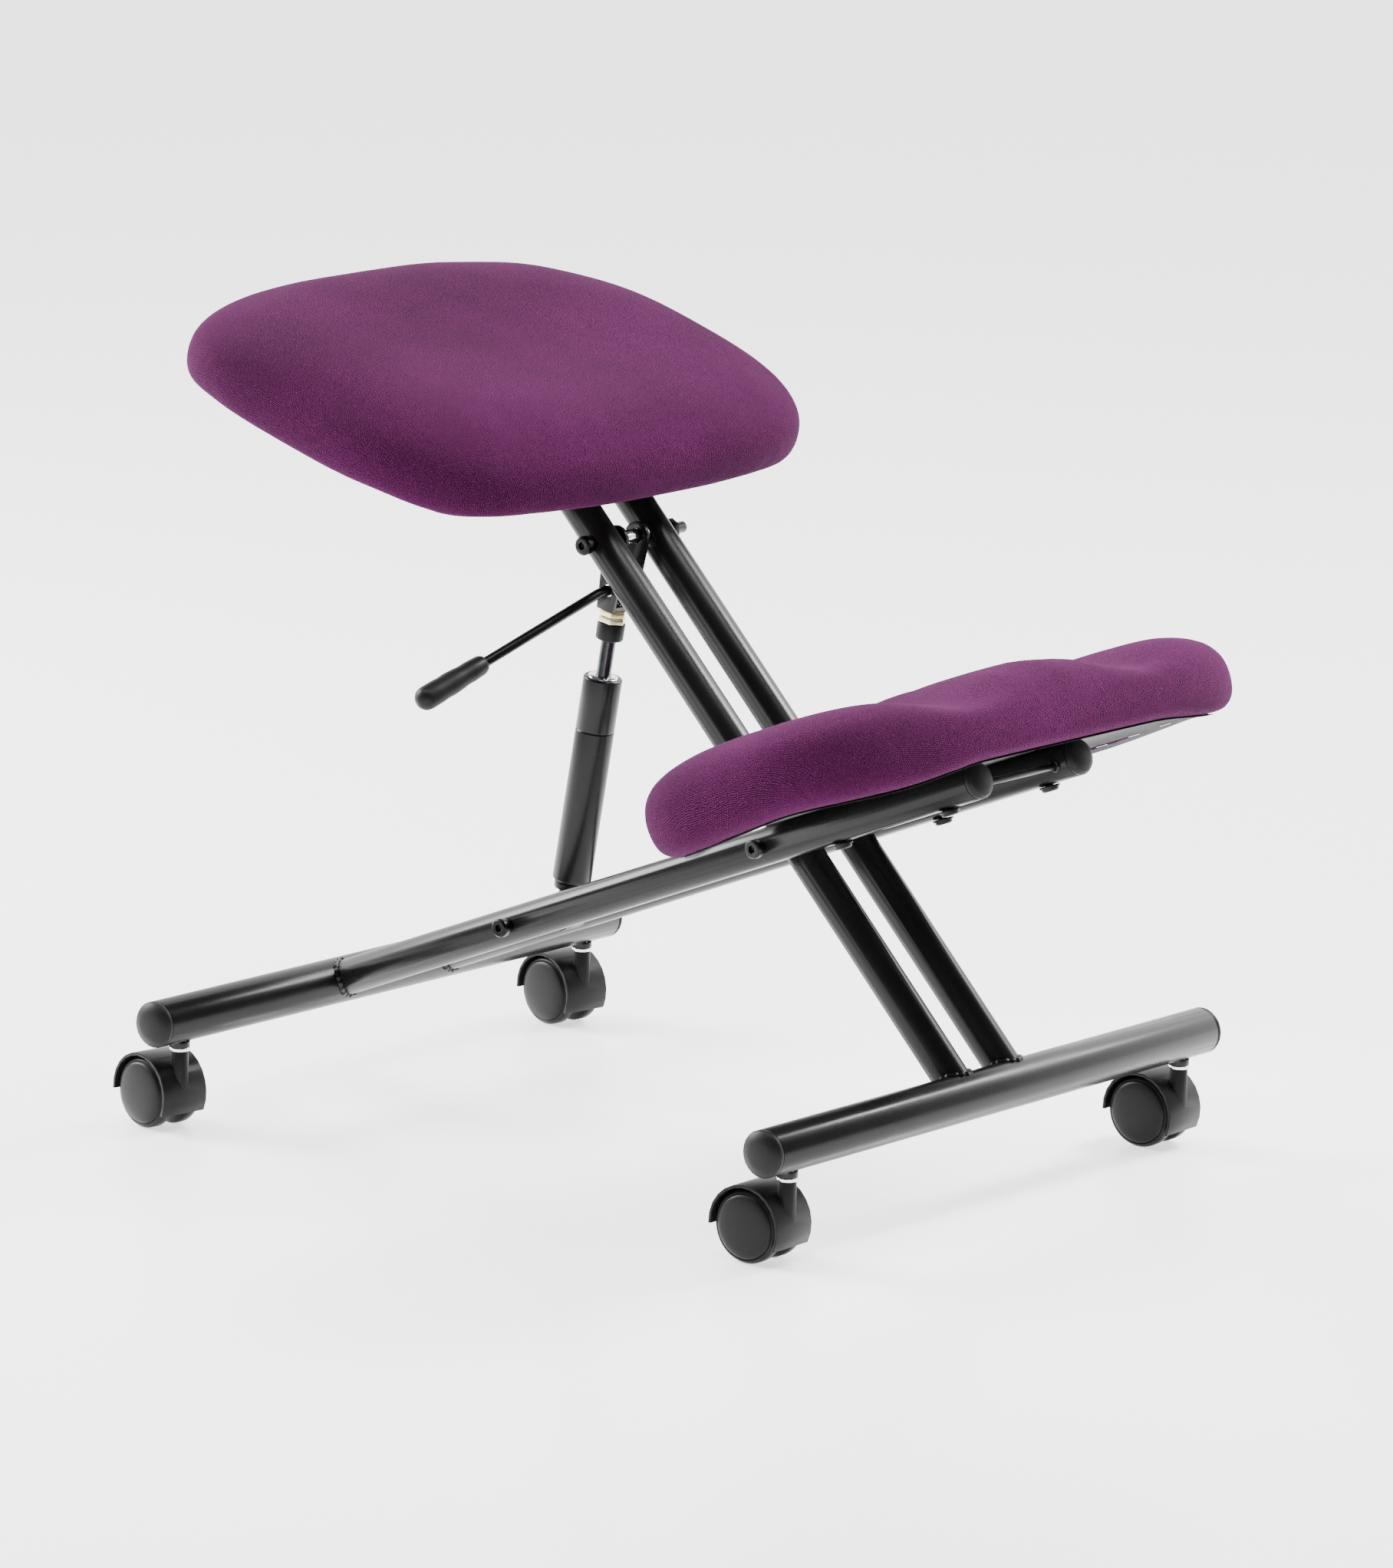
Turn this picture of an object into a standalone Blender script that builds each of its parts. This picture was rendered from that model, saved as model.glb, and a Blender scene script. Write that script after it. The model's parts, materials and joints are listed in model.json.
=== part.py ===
"""Kneeling chair on twin-wheel castors.

Two welded tube frames cross like scissors on one long bolt. The kneeler frame carries the
knee pad and the rear castors, the seat frame carries the seat and the front castors, and a
locking gas strut with a hand lever sets the angle between them.

Metres, +Z up, +X forwards from the seat to the knee pad, +Y to the sitter's left.
"""
import math

import bmesh
import bpy
from mathutils import Matrix, Vector

GAP = 0.0003                       # clearance left between pieces that touch
ROUND = 24                         # sides of tubes and turned pieces
MEDIUM_ROUND = 16                  # sides of bolts, bushes and the grip
SMALL_ROUND = 12                   # sides of small fasteners and holes
SIDES = (("right", -1), ("left", 1))

# Crossbars and their castor stems
REAR_BAR_X = -0.2753
FRONT_BAR_X = 0.2567
BAR_Z = 0.078
BAR_RADIUS = 0.016
BAR_HALF = 0.2355
WALL = 0.0015
STEM_Y = 0.2125

# Crossing tubes
TUBE_RADIUS = 0.0125
PIVOT_X = 0.1113
PIVOT_Z = 0.231
KNEELER_Y = 0.054
SEAT_Y = 0.0275
KNEELER_FRONT = 0.183              # tube end in front of the pivot
SEAT_TUBE_LENGTH = 0.33            # above the pivot, before the end is cut to the plate
STRUT_LOW = 0.2348                 # pivot to lower strut bolt, along the kneeler tubes
STRUT_HIGH = 0.248                 # pivot to upper strut bolt, along the seat tubes
CAP_HEIGHT = 0.008
CAP_SKIRT = 0.0030                 # straight part of a cap under its dome
CAP_SPIGOT = 0.014
CROSS_ROD_AT = 0.174
CROSS_ROD_BELOW = 0.002
CROSS_ROD_RADIUS = 0.0024

# Seat and knee pads: half length and half width, corner exponent
SEAT_CENTRE = (-0.1771, 0.5015)
SEAT_PITCH = math.radians(-17.5)
SEAT_HALF = (0.1564, 0.2179)
SEAT_CORNER = 3.37
SEAT_DOWN = 0.0211
SEAT_UP = 0.0302
SEAT_BOARD = (-0.0180, -0.0070)
SEAT_PLATE_TOP = -0.0183
SEAT_PLATE_THICK = 0.003
SEAT_PLATE_X = (-0.080, 0.120)
SEAT_PLATE_HALF_Y = 0.066
SEAT_FLANGE = 0.010
KNEE_CENTRE_AT = 0.1207            # pad centre in front of the pivot
KNEE_HALF = (0.1231, 0.2375)
KNEE_CORNER = 3.16
KNEE_BOTTOM = 0.0128
KNEE_TOP = 0.0662
KNEE_BOARD = (0.0130, 0.0230)
BOARD_INSET = 0.026
NOTCH_FRONT = 0.016                # rear notch for the seat tubes, in front of the pivot
NOTCH_HALF_Y = 0.047
NOTCH_ROUND = 0.012
BOARD_BOLTS_AT = (0.155, 0.060)
# Pad edge, as fractions of the rise and the inset there
PAD_EDGE = [(0.0, 0.016), (0.06, 0.008), (0.20, 0.002), (0.40, 0.0), (0.62, 0.002),
            (0.80, 0.010), (0.91, 0.024), (0.97, 0.044), (1.0, 0.080)]

# Fasteners
BOLT_RADIUS = 0.004
BOLT_HEAD_RADIUS = 0.0066
BOLT_HEAD = 0.0055
SHOULDER_RADIUS = 0.0050
PIVOT_SHOULDER = 0.0022            # bolt shoulder standing out of the tubes
STRUT_SHOULDER = 0.0042
SOCKET_RADIUS = 0.0029
SOCKET_DEPTH = 0.0035
NUT_RADIUS = 0.0075
NUT_HEIGHT = 0.0075
THREAD_END = 0.003                 # bolt end showing past its nut
LONG_THREAD_END = 0.009
WASHER_RADIUS = 0.0085
BOARD_BOLT_RADIUS = 0.003
BOARD_BOLT_HEAD = 0.0060
BOARD_BOLT_FLANGE = 0.0072
BOARD_BOLT_RIM = 0.0014             # flange thickness
BOARD_BOLT_HEIGHT = 0.0038          # flange and head together
BOARD_BOLT_TIP = 0.0200

# Gas strut, distances along its axis from the lower bolt
STRUT_Y = -0.0045                  # the strut hangs a little right of the middle
EYE_RADIUS = 0.012
EYE_HALF_WIDTH = 0.009
SLEEVE_RADIUS = 0.007
CYLINDER = (0.0230, 0.1710)
CYLINDER_RADIUS = 0.0135
CYLINDER_BORE = 0.0108
CYLINDER_SEAM = 0.133
GUIDE_LENGTH = 0.010
ROD_RADIUS = 0.005
PISTON = (0.045, 0.053)
COLLAR = (0.198, 0.210)
COLLAR_RADIUS = 0.0096
NUT_SEATS = (0.2103, 0.2151)
LOCKNUT_HEIGHT = 0.0045
LOCKNUT_RADIUS = 0.0098
CLEVIS_BASE = (0.2200, 0.2230)
CLEVIS_Y = 0.0024                  # middle of the clevis, from the strut's axis
CLEVIS_INNER = 0.0094
CLEVIS_OUTER = 0.0124
CLEVIS_EAR_RADIUS = 0.0098
CLEVIS_WASHER = (0.0152, 0.0168)   # washer beyond the left ear, from the strut's axis
CLEVIS_FOOT = 0.0070
CLEVIS_HOLE = 0.0054
SPACER_RADIUS = 0.0052
ROD_TOP = 0.2240
PIN_RADIUS = 0.002
PIN = (0.2080, 0.2302)
LEVER_AT = 0.234
LEVER_RADIUS = 0.0035
LEVER_WINDOW = 0.0046
LEVER_INNER_Y = 0.0040
LEVER_FULCRUM_Y = -0.0085
LEVER_BEND = 0.012
LEVER_DROOP = math.radians(17)
GRIP_FROM_Y = -0.131
GRIP_LENGTH = 0.064
GRIP_BORE = 0.050
GRIP_TIP = 0.0075
# Grip outline from its mouth to the start of its round tip
GRIP_SHAPE = [(0.0, 0.0058), (0.003, 0.0069), (0.014, 0.0074), (0.020, 0.0072),
              (0.026, 0.0078), (0.034, 0.0082), (0.040, 0.0079), (0.046, 0.0083)]

# Castors, in a frame with its origin on the floor under the stem
WHEEL_RADIUS = 0.025
WHEEL_SIDES = 24
WHEEL_Z = WHEEL_RADIUS * math.cos(math.pi / WHEEL_SIDES)
WHEEL_BACK = 0.0213                # stem to axle, backwards
WHEEL_IN = 0.0066
WHEEL_OUT = 0.0198
HOOD_RADIUS = 0.0280
HOOD_THICK = 0.0020
HOOD_HALF_WIDTH = 0.0185
HOOD_WEB = 0.0058
HOOD_FROM = math.radians(-27)
HOOD_TO = math.radians(183)
AXLE_RADIUS = 0.003
STEM_RADIUS = 0.005
STEM = (0.0400, 0.0870)             # lowest and highest point of a stem
BOSS_RADIUS = 0.0062
BOSS_TOP = 0.0558
RING = (0.0561, 0.0586)
RING_RADIUS = 0.0072
SOCKET_BOTTOM = 0.0589
SWIVEL_TURNS = {"rear_right": -8.0, "rear_left": -8.0, "front_right": 2.0, "front_left": 2.5}

# Directions worked out from the driving dimensions
PIVOT = Vector((PIVOT_X, 0, PIVOT_Z))
KNEELER_REACH = math.hypot(PIVOT_X - REAR_BAR_X, PIVOT_Z - BAR_Z)
SEAT_REACH = math.hypot(FRONT_BAR_X - PIVOT_X, PIVOT_Z - BAR_Z)
KNEELER_WAY = Vector((PIVOT_X - REAR_BAR_X, 0, PIVOT_Z - BAR_Z)).normalized()
SEAT_WAY = Vector((PIVOT_X - FRONT_BAR_X, 0, PIVOT_Z - BAR_Z)).normalized()
ACROSS = Vector((0, 1, 0))
KNEELER_UP = KNEELER_WAY.cross(ACROSS)
STRUT_FOOT = PIVOT - KNEELER_WAY * STRUT_LOW
STRUT_HEAD = PIVOT + SEAT_WAY * STRUT_HIGH
STRUT_WAY = (STRUT_HEAD - STRUT_FOOT).normalized()
STRUT_LENGTH = (STRUT_HEAD - STRUT_FOOT).length

BLACK_PAINT = ((0.012, 0.012, 0.013), 0.28, 0.0)
BLACK_PLASTIC = ((0.018, 0.018, 0.019), 0.55, 0.0)
BLACK_OXIDE = ((0.015, 0.015, 0.016), 0.40, 0.7)
ZINC = ((0.72, 0.64, 0.42), 0.30, 1.0)
CHROME = ((0.80, 0.80, 0.82), 0.12, 1.0)
ROD_GREY = ((0.10, 0.11, 0.12), 0.28, 0.9)
PLYWOOD = ((0.50, 0.36, 0.21), 0.70, 0.0)
PURPLE = ((0.17, 0.035, 0.15), 0.90, 0.0)


def frame_at(origin, z_way, x_hint=ACROSS):
    """A right-handed frame at origin with its z axis along z_way."""
    z_axis = Vector(z_way).normalized()
    y_axis = z_axis.cross(Vector(x_hint)).normalized()
    x_axis = y_axis.cross(z_axis)
    rotation = Matrix((x_axis, y_axis, z_axis)).transposed()
    return Matrix.Translation(origin) @ rotation.to_4x4()


def empty_at(name, matrix):
    """An empty on a joint's axis, which the moving pieces hang under."""
    empty = bpy.data.objects.new(name, None)
    bpy.context.collection.objects.link(empty)
    empty.matrix_basis = matrix
    return empty


def new_material(name, finish):
    colour, roughness, metallic = finish
    material = bpy.data.materials.new(name)
    material.use_nodes = True
    shader = material.node_tree.nodes["Principled BSDF"]
    shader.inputs["Base Color"].default_value = (*colour, 1.0)
    shader.inputs["Roughness"].default_value = roughness
    shader.inputs["Metallic"].default_value = metallic
    return material


def add_piece(name, bm, matrix, finish, parent=None):
    """Turns a bmesh into a named object with its own material."""
    bmesh.ops.recalc_face_normals(bm, faces=bm.faces)
    mesh = bpy.data.meshes.new(name)
    bm.to_mesh(mesh)
    bm.free()
    mesh.shade_smooth()
    mesh.set_sharp_from_angle(angle=math.radians(35))
    mesh.materials.append(new_material(name, finish))
    piece = bpy.data.objects.new(name, mesh)
    bpy.context.collection.objects.link(piece)
    piece.matrix_basis = matrix
    if parent is not None:
        piece.parent = parent
        piece.matrix_parent_inverse = parent.matrix_basis.inverted()
    return piece


def add_ring(bm, points):
    return [bm.verts.new(point) for point in points]


def bridge(bm, rings, closed):
    """Joins each ring of vertices to the next with quads."""
    pairs = list(zip(rings, rings[1:]))
    if closed:
        pairs.append((rings[-1], rings[0]))
    for low, high in pairs:
        count = len(low)
        for index in range(count):
            following = (index + 1) % count
            bm.faces.new((low[index], low[following], high[following], high[index]))


def revolve(profile, sides=ROUND, phase=0.0, hollow=False):
    """Turns (radius, height) points about z. A solid profile gets a flat face at each end."""
    bm = bmesh.new()
    rings = []
    for radius, height in profile:
        angles = [phase + 2 * math.pi * step / sides for step in range(sides)]
        rings.append(add_ring(bm, [(radius * math.cos(a), radius * math.sin(a), height)
                                   for a in angles]))
    bridge(bm, rings, hollow)
    if not hollow:
        bm.faces.new(rings[0])
        bm.faces.new(rings[-1])
    return bm


def stack(rings_of_points):
    """A closed solid through a stack of outlines, flat at both ends."""
    bm = bmesh.new()
    rings = [add_ring(bm, points) for points in rings_of_points]
    bridge(bm, rings, False)
    bm.faces.new(rings[0])
    bm.faces.new(rings[-1])
    return bm


def pipe(outer, inner, start, end, sides=ROUND):
    profile = [(inner, start), (outer, start), (outer, end), (inner, end)]
    return revolve(profile, sides, hollow=True)


def dome_profile(radius, base, height, steps=3):
    """Points of a quarter ellipse from the rim at base up to the crown."""
    angles = [0.5 * math.pi * step / steps for step in range(steps)]
    return [(radius * math.cos(a), base + height * math.sin(a)) for a in angles]


def rounded_plan(half_x, half_y, corner, height, count=36):
    """A rounded rectangle with curved sides, as a superellipse."""
    points = []
    for step in range(count):
        angle = 2 * math.pi * (step + 0.5) / count
        cosine, sine = math.cos(angle), math.sin(angle)
        x = math.copysign(abs(cosine) ** (2 / corner), cosine) * half_x
        y = math.copysign(abs(sine) ** (2 / corner), sine) * half_y
        points.append((x, y, height))
    return points


def arc_points(radius, start, end, steps, centre=(0.0, 0.0)):
    angles = [start + (end - start) * step / steps for step in range(steps + 1)]
    return [(centre[0] + radius * math.cos(a), centre[1] + radius * math.sin(a))
            for a in angles]


def extrude_outline(outline, low, high):
    """A prism on an (x, z) outline that runs from y = low to y = high."""
    return stack([[(x, y, z) for x, z in outline] for y in (low, high)])


def box_mesh(low, high):
    corners = [(low[0], low[1]), (high[0], low[1]), (high[0], high[1]), (low[0], high[1])]
    return stack([[(x, y, z) for x, y in corners] for z in (low[2], high[2])])


def combine(piece, name, bm, matrix, operation):
    """Adds an exact Boolean of piece with a hidden tool body."""
    bmesh.ops.recalc_face_normals(bm, faces=bm.faces)
    mesh = bpy.data.meshes.new(name)
    bm.to_mesh(mesh)
    bm.free()
    tool = bpy.data.objects.new(name, mesh)
    bpy.context.collection.objects.link(tool)
    tool.matrix_basis = matrix
    tool.hide_render = True
    tool.display_type = "WIRE"
    modifier = piece.modifiers.new(name, "BOOLEAN")
    modifier.operation = operation
    modifier.solver = "EXACT"
    modifier.object = tool


def cut(piece, label, bm, matrix):
    combine(piece, f"{piece.name}_cut_{label}", bm, matrix, "DIFFERENCE")


def join(piece, label, bm, matrix):
    combine(piece, f"{piece.name}_join_{label}", bm, matrix, "UNION")


def drill(piece, label, matrix, radius, start, end, sides=SMALL_ROUND):
    """A round hole along the matrix's z axis, from start to end."""
    cut(piece, label, revolve([(radius, start), (radius, end)], sides), matrix)


def make_bar(name, bar_x, parent=None):
    """A crossbar tube with a stem socket welded under each end."""
    centre = Vector((bar_x, 0, BAR_Z))
    bar = add_piece(name, pipe(BAR_RADIUS, BAR_RADIUS - WALL, -BAR_HALF, BAR_HALF),
                    frame_at(centre, ACROSS, (0, 0, 1)), BLACK_PAINT, parent)
    for side, sign in SIDES:
        under = Matrix.Translation((bar_x, sign * STEM_Y, 0))
        socket_top = BAR_Z - BAR_RADIUS + WALL / 2
        socket = revolve([(RING_RADIUS, SOCKET_BOTTOM), (RING_RADIUS, socket_top)],
                         MEDIUM_ROUND)
        join(bar, f"socket_{side}", socket, under)
        drill(bar, f"stem_{side}", under, STEM_RADIUS + GAP, 0.05, BAR_Z)
    return bar


def make_cap(name, radius, end, way, parent=None):
    """A domed plastic plug in a tube's end."""
    spigot = radius - WALL - GAP
    profile = [(spigot, -CAP_SPIGOT), (spigot, GAP), (radius, GAP), (radius, CAP_SKIRT)]
    profile += dome_profile(radius, CAP_SKIRT, CAP_HEIGHT - CAP_SKIRT)[1:]
    add_piece(name, revolve(profile), frame_at(end, way, (0, 0, 1)), BLACK_PLASTIC, parent)


def make_bar_caps(prefix, bar_x, parent=None):
    for side, sign in SIDES:
        end = Vector((bar_x, sign * BAR_HALF, BAR_Z))
        make_cap(f"{prefix}_bar_cap_{side}", BAR_RADIUS, end, ACROSS * sign, parent)


def make_stems(prefix, bar_x, parent=None):
    """Steel castor stems with a bright collar, held in the crossbar sockets."""
    bottom, top = STEM
    profile = [(STEM_RADIUS, bottom), (STEM_RADIUS, RING[0]), (RING_RADIUS, RING[0]),
               (RING_RADIUS, RING[1]), (STEM_RADIUS, RING[1]), (STEM_RADIUS, top - 0.001),
               (STEM_RADIUS - 0.001, top)]
    for side, sign in SIDES:
        place = Matrix.Translation((bar_x, sign * STEM_Y, 0))
        add_piece(f"castor_stem_{prefix}_{side}", revolve(profile, SMALL_ROUND), place,
                  CHROME, parent)


def tube_on(name, foot, way, start, end, parent=None):
    return add_piece(name, pipe(TUBE_RADIUS, TUBE_RADIUS - WALL, start, end),
                     frame_at(foot, way), BLACK_PAINT, parent)


def cope(tube, bar_x):
    """Shapes a tube's end to the crossbar that it is welded to."""
    reach = 2 * KNEELER_Y
    body = revolve([(BAR_RADIUS + GAP, -reach), (BAR_RADIUS + GAP, reach)])
    cut(tube, "cope", body, frame_at((bar_x, 0, BAR_Z), ACROSS, (0, 0, 1)))


def kneeler_point(along, above=0.0, y=0.0):
    """A point along the kneeler tubes, above their centre line."""
    return PIVOT + KNEELER_WAY * along + KNEELER_UP * above + ACROSS * y


def kneeler_frame(along=0.0, above=0.0, y=0.0):
    """A frame lying on the kneeler tubes: x forwards along them, z away from them."""
    rotation = Matrix((KNEELER_WAY, ACROSS, KNEELER_UP)).transposed().to_4x4()
    return Matrix.Translation(kneeler_point(along, above, y)) @ rotation


def make_kneeler_tubes():
    for side, sign in SIDES:
        foot = kneeler_point(0, y=sign * KNEELER_Y)
        tube = tube_on(f"kneeler_tube_{side}", foot, KNEELER_WAY, -KNEELER_REACH,
                       KNEELER_FRONT)
        cope(tube, REAR_BAR_X)
        for label, along in (("pivot", 0.0), ("strut", -STRUT_LOW)):
            way = frame_at(kneeler_point(along), ACROSS, (0, 0, 1))
            drill(tube, label, way, BOLT_RADIUS + GAP, sign * 0.03, sign * 0.08)
        for index, along in enumerate(BOARD_BOLTS_AT):
            place = kneeler_frame(along, y=sign * KNEELER_Y)
            drill(tube, f"board_{index}", place, BOARD_BOLT_RADIUS + GAP, -0.02, 0.02)
        end = kneeler_point(KNEELER_FRONT, y=sign * KNEELER_Y)
        make_cap(f"kneeler_tube_cap_{side}", TUBE_RADIUS, end, KNEELER_WAY)


def make_cross_rod():
    reach = KNEELER_Y - TUBE_RADIUS - GAP
    place = frame_at(kneeler_point(CROSS_ROD_AT, -CROSS_ROD_BELOW), ACROSS, (0, 0, 1))
    add_piece("kneeler_cross_rod",
              revolve([(CROSS_ROD_RADIUS, -reach), (CROSS_ROD_RADIUS, reach)], SMALL_ROUND),
              place, BLACK_PAINT)


def notch_mesh(low, high):
    """The space behind the knee pad that the seat tubes swing through."""
    rear = -KNEE_CENTRE_AT - 0.05
    front = NOTCH_FRONT - KNEE_CENTRE_AT
    corner = front - NOTCH_ROUND
    side = NOTCH_HALF_Y - NOTCH_ROUND
    outline = [(rear, -NOTCH_HALF_Y)]
    outline += arc_points(NOTCH_ROUND, -0.5 * math.pi, 0.0, 4, (corner, -side))
    outline += arc_points(NOTCH_ROUND, 0.0, 0.5 * math.pi, 4, (corner, side))
    outline += [(rear, NOTCH_HALF_Y)]
    return stack([[(x, y, z) for x, y in outline] for z in (low, high)])


def pad_mesh(half, corner, low, high):
    """A pad with a rounded rim and a gently crowned top."""
    rise = high - low
    return stack([rounded_plan(half[0] - inset, half[1] - inset, corner, low + rise * part)
                  for part, inset in PAD_EDGE])


def board_mesh(half, corner, low, high, grow=0.0):
    inset = BOARD_INSET - grow
    return stack([rounded_plan(half[0] - inset, half[1] - inset, corner, z)
                  for z in (low, high)])


def make_knee_pad():
    place = kneeler_frame(KNEE_CENTRE_AT)
    board = add_piece("knee_board", board_mesh(KNEE_HALF, KNEE_CORNER, *KNEE_BOARD),
                      place, PLYWOOD)
    cut(board, "notch", notch_mesh(0.0, 0.05), place)
    pad = add_piece("knee_pad", pad_mesh(KNEE_HALF, KNEE_CORNER, KNEE_BOTTOM, KNEE_TOP),
                    place, PURPLE)
    pocket = board_mesh(KNEE_HALF, KNEE_CORNER, 0.0, KNEE_BOARD[1] + GAP, GAP)
    cut(pad, "pocket", pocket, place)
    cut(pad, "notch", notch_mesh(0.0, 0.10), place)
    make_board_bolts(board)


def make_board_bolts(board):
    """Flanged bolts up through the kneeler tubes into the knee board."""
    seat = -TUBE_RADIUS - GAP
    rim = seat - BOARD_BOLT_RIM
    head = seat - BOARD_BOLT_HEIGHT
    profile = [(BOARD_BOLT_HEAD - 0.0010, head), (BOARD_BOLT_HEAD, head + 0.0010),
               (BOARD_BOLT_HEAD, rim), (BOARD_BOLT_FLANGE, rim), (BOARD_BOLT_FLANGE, seat),
               (BOARD_BOLT_RADIUS, seat), (BOARD_BOLT_RADIUS, BOARD_BOLT_TIP)]
    socket = revolve([(SOCKET_RADIUS, head - 0.002), (SOCKET_RADIUS, head + 0.0018)], 6)
    number = 0
    for side, sign in SIDES:
        for along in BOARD_BOLTS_AT:
            number += 1
            place = kneeler_frame(along, y=sign * KNEELER_Y)
            bolt = add_piece(f"knee_board_bolt_{number}", revolve(profile, SMALL_ROUND),
                             place, BLACK_OXIDE)
            cut(bolt, "socket", socket.copy(), place)
            drill(board, f"bolt_{number}", place, BOARD_BOLT_RADIUS + GAP, 0.0,
                  BOARD_BOLT_TIP + 0.001)
    socket.free()


def make_cross_bolt(name, half_span, centre, shoulder, thread_end=THREAD_END, parent=None):
    """A socket-head bolt along y, with its head on the sitter's right, and its nut."""
    place = frame_at(centre, -ACROSS, (0, 0, 1))
    face = half_span + GAP
    seat = face + shoulder
    top = seat + BOLT_HEAD
    end = -face - NUT_HEIGHT - thread_end
    profile = [(BOLT_RADIUS, end), (BOLT_RADIUS, face), (SHOULDER_RADIUS, face),
               (SHOULDER_RADIUS, seat), (BOLT_HEAD_RADIUS, seat),
               (BOLT_HEAD_RADIUS, top - 0.0012), (BOLT_HEAD_RADIUS - 0.0012, top)]
    bolt = add_piece(f"{name}_bolt", revolve(profile, MEDIUM_ROUND), place, BLACK_OXIDE,
                     parent)
    cut(bolt, "socket", revolve([(SOCKET_RADIUS, top - SOCKET_DEPTH),
                                 (SOCKET_RADIUS, top + 0.002)], 6), place)
    nut_profile = [(NUT_RADIUS - 0.0008, 0.0), (NUT_RADIUS, 0.0008),
                   (NUT_RADIUS, NUT_HEIGHT - 0.002), (NUT_RADIUS - 0.0018, NUT_HEIGHT)]
    far = frame_at(centre + ACROSS * face, ACROSS, (0, 0, 1))
    nut = add_piece(f"{name}_nut", revolve(nut_profile, 6), far, BLACK_OXIDE, parent)
    drill(nut, "thread", far, BOLT_RADIUS + GAP, -0.01, 0.02)


def make_pivot():
    """The long bolt that both frames turn on, with a thin washer between each tube pair."""
    make_cross_bolt("pivot", KNEELER_Y + TUBE_RADIUS, PIVOT, PIVOT_SHOULDER)
    low = SEAT_Y + TUBE_RADIUS + GAP
    high = KNEELER_Y - TUBE_RADIUS - GAP
    for side, sign in SIDES:
        place = frame_at(PIVOT, ACROSS * sign, (0, 0, 1))
        washer = pipe(WASHER_RADIUS, BOLT_RADIUS + GAP, low, high, MEDIUM_ROUND)
        add_piece(f"pivot_washer_{side}", washer, place, CHROME)


def make_lower_mount():
    """The bolt and spacer tube that the gas strut's eye turns on."""
    make_cross_bolt("strut_lower", KNEELER_Y + TUBE_RADIUS, STRUT_FOOT, STRUT_SHOULDER)
    reach = KNEELER_Y - TUBE_RADIUS - GAP
    place = frame_at(STRUT_FOOT, ACROSS, (0, 0, 1))
    sleeve = pipe(SLEEVE_RADIUS, BOLT_RADIUS + GAP, -reach, reach, MEDIUM_ROUND)
    add_piece("strut_lower_sleeve", sleeve, place, BLACK_OXIDE)


def make_seat_tubes(parent):
    place = seat_frame()
    slab = box_mesh((-0.3, -0.1, SEAT_PLATE_TOP - SEAT_PLATE_THICK - GAP), (0.3, 0.1, 0.2))
    for side, sign in SIDES:
        foot = PIVOT + ACROSS * sign * SEAT_Y
        tube = tube_on(f"seat_tube_{side}", foot, SEAT_WAY, -SEAT_REACH, SEAT_TUBE_LENGTH,
                       parent)
        cope(tube, FRONT_BAR_X)
        cut(tube, "mitre", slab.copy(), place)
        for label, centre in (("pivot", PIVOT), ("strut", STRUT_HEAD)):
            way = frame_at(centre, ACROSS, (0, 0, 1))
            drill(tube, label, way, BOLT_RADIUS + GAP, sign * 0.01, sign * 0.05)
    slab.free()


def seat_frame():
    """The seat's own frame: x forwards along the board, z up through the pad."""
    place = Matrix.Translation((SEAT_CENTRE[0], 0, SEAT_CENTRE[1]))
    return place @ Matrix.Rotation(-SEAT_PITCH, 4, "Y")


def make_seat(parent):
    place = seat_frame()
    bottom = SEAT_PLATE_TOP - SEAT_PLATE_THICK
    back, front = SEAT_PLATE_X
    plate = add_piece("seat_plate", box_mesh((back, -SEAT_PLATE_HALF_Y, bottom),
                                             (front, SEAT_PLATE_HALF_Y, SEAT_PLATE_TOP)),
                      place, BLACK_PAINT, parent)
    for side, sign in SIDES:
        edges = sorted((sign * SEAT_PLATE_HALF_Y, sign * (SEAT_PLATE_HALF_Y - 0.003)))
        flange = box_mesh((back, edges[0], bottom - SEAT_FLANGE),
                          (front, edges[1], bottom + 0.001))
        join(plate, f"flange_{side}", flange, place)
    add_piece("seat_board", board_mesh(SEAT_HALF, SEAT_CORNER, *SEAT_BOARD), place, PLYWOOD,
              parent)
    pad = add_piece("seat_pad", pad_mesh(SEAT_HALF, SEAT_CORNER, -SEAT_DOWN, SEAT_UP), place,
                    PURPLE, parent)
    pocket = board_mesh(SEAT_HALF, SEAT_CORNER, -0.05, SEAT_BOARD[1] + GAP, GAP)
    cut(pad, "pocket", pocket, place)


def make_upper_mount(parent):
    """The bolt that the strut's clevis hangs on, with a bright spacer between its ears."""
    make_cross_bolt("strut_upper", SEAT_Y + TUBE_RADIUS, STRUT_HEAD, STRUT_SHOULDER,
                    LONG_THREAD_END, parent)
    reach = CLEVIS_INNER - GAP
    place = frame_at(strut_point(STRUT_LENGTH), ACROSS, (0, 0, 1))
    spacer = pipe(SPACER_RADIUS, BOLT_RADIUS + GAP, CLEVIS_Y - reach, CLEVIS_Y + reach,
                  MEDIUM_ROUND)
    add_piece("clevis_spacer", spacer, place, CHROME, parent)
    washer = pipe(WASHER_RADIUS, BOLT_RADIUS + GAP, *CLEVIS_WASHER, MEDIUM_ROUND)
    add_piece("clevis_washer", washer, place, CHROME, parent)


def strut_point(along, y=0.0):
    """A point along the strut's axis, or beside it."""
    return STRUT_FOOT + STRUT_WAY * along + ACROSS * (STRUT_Y + y)


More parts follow.
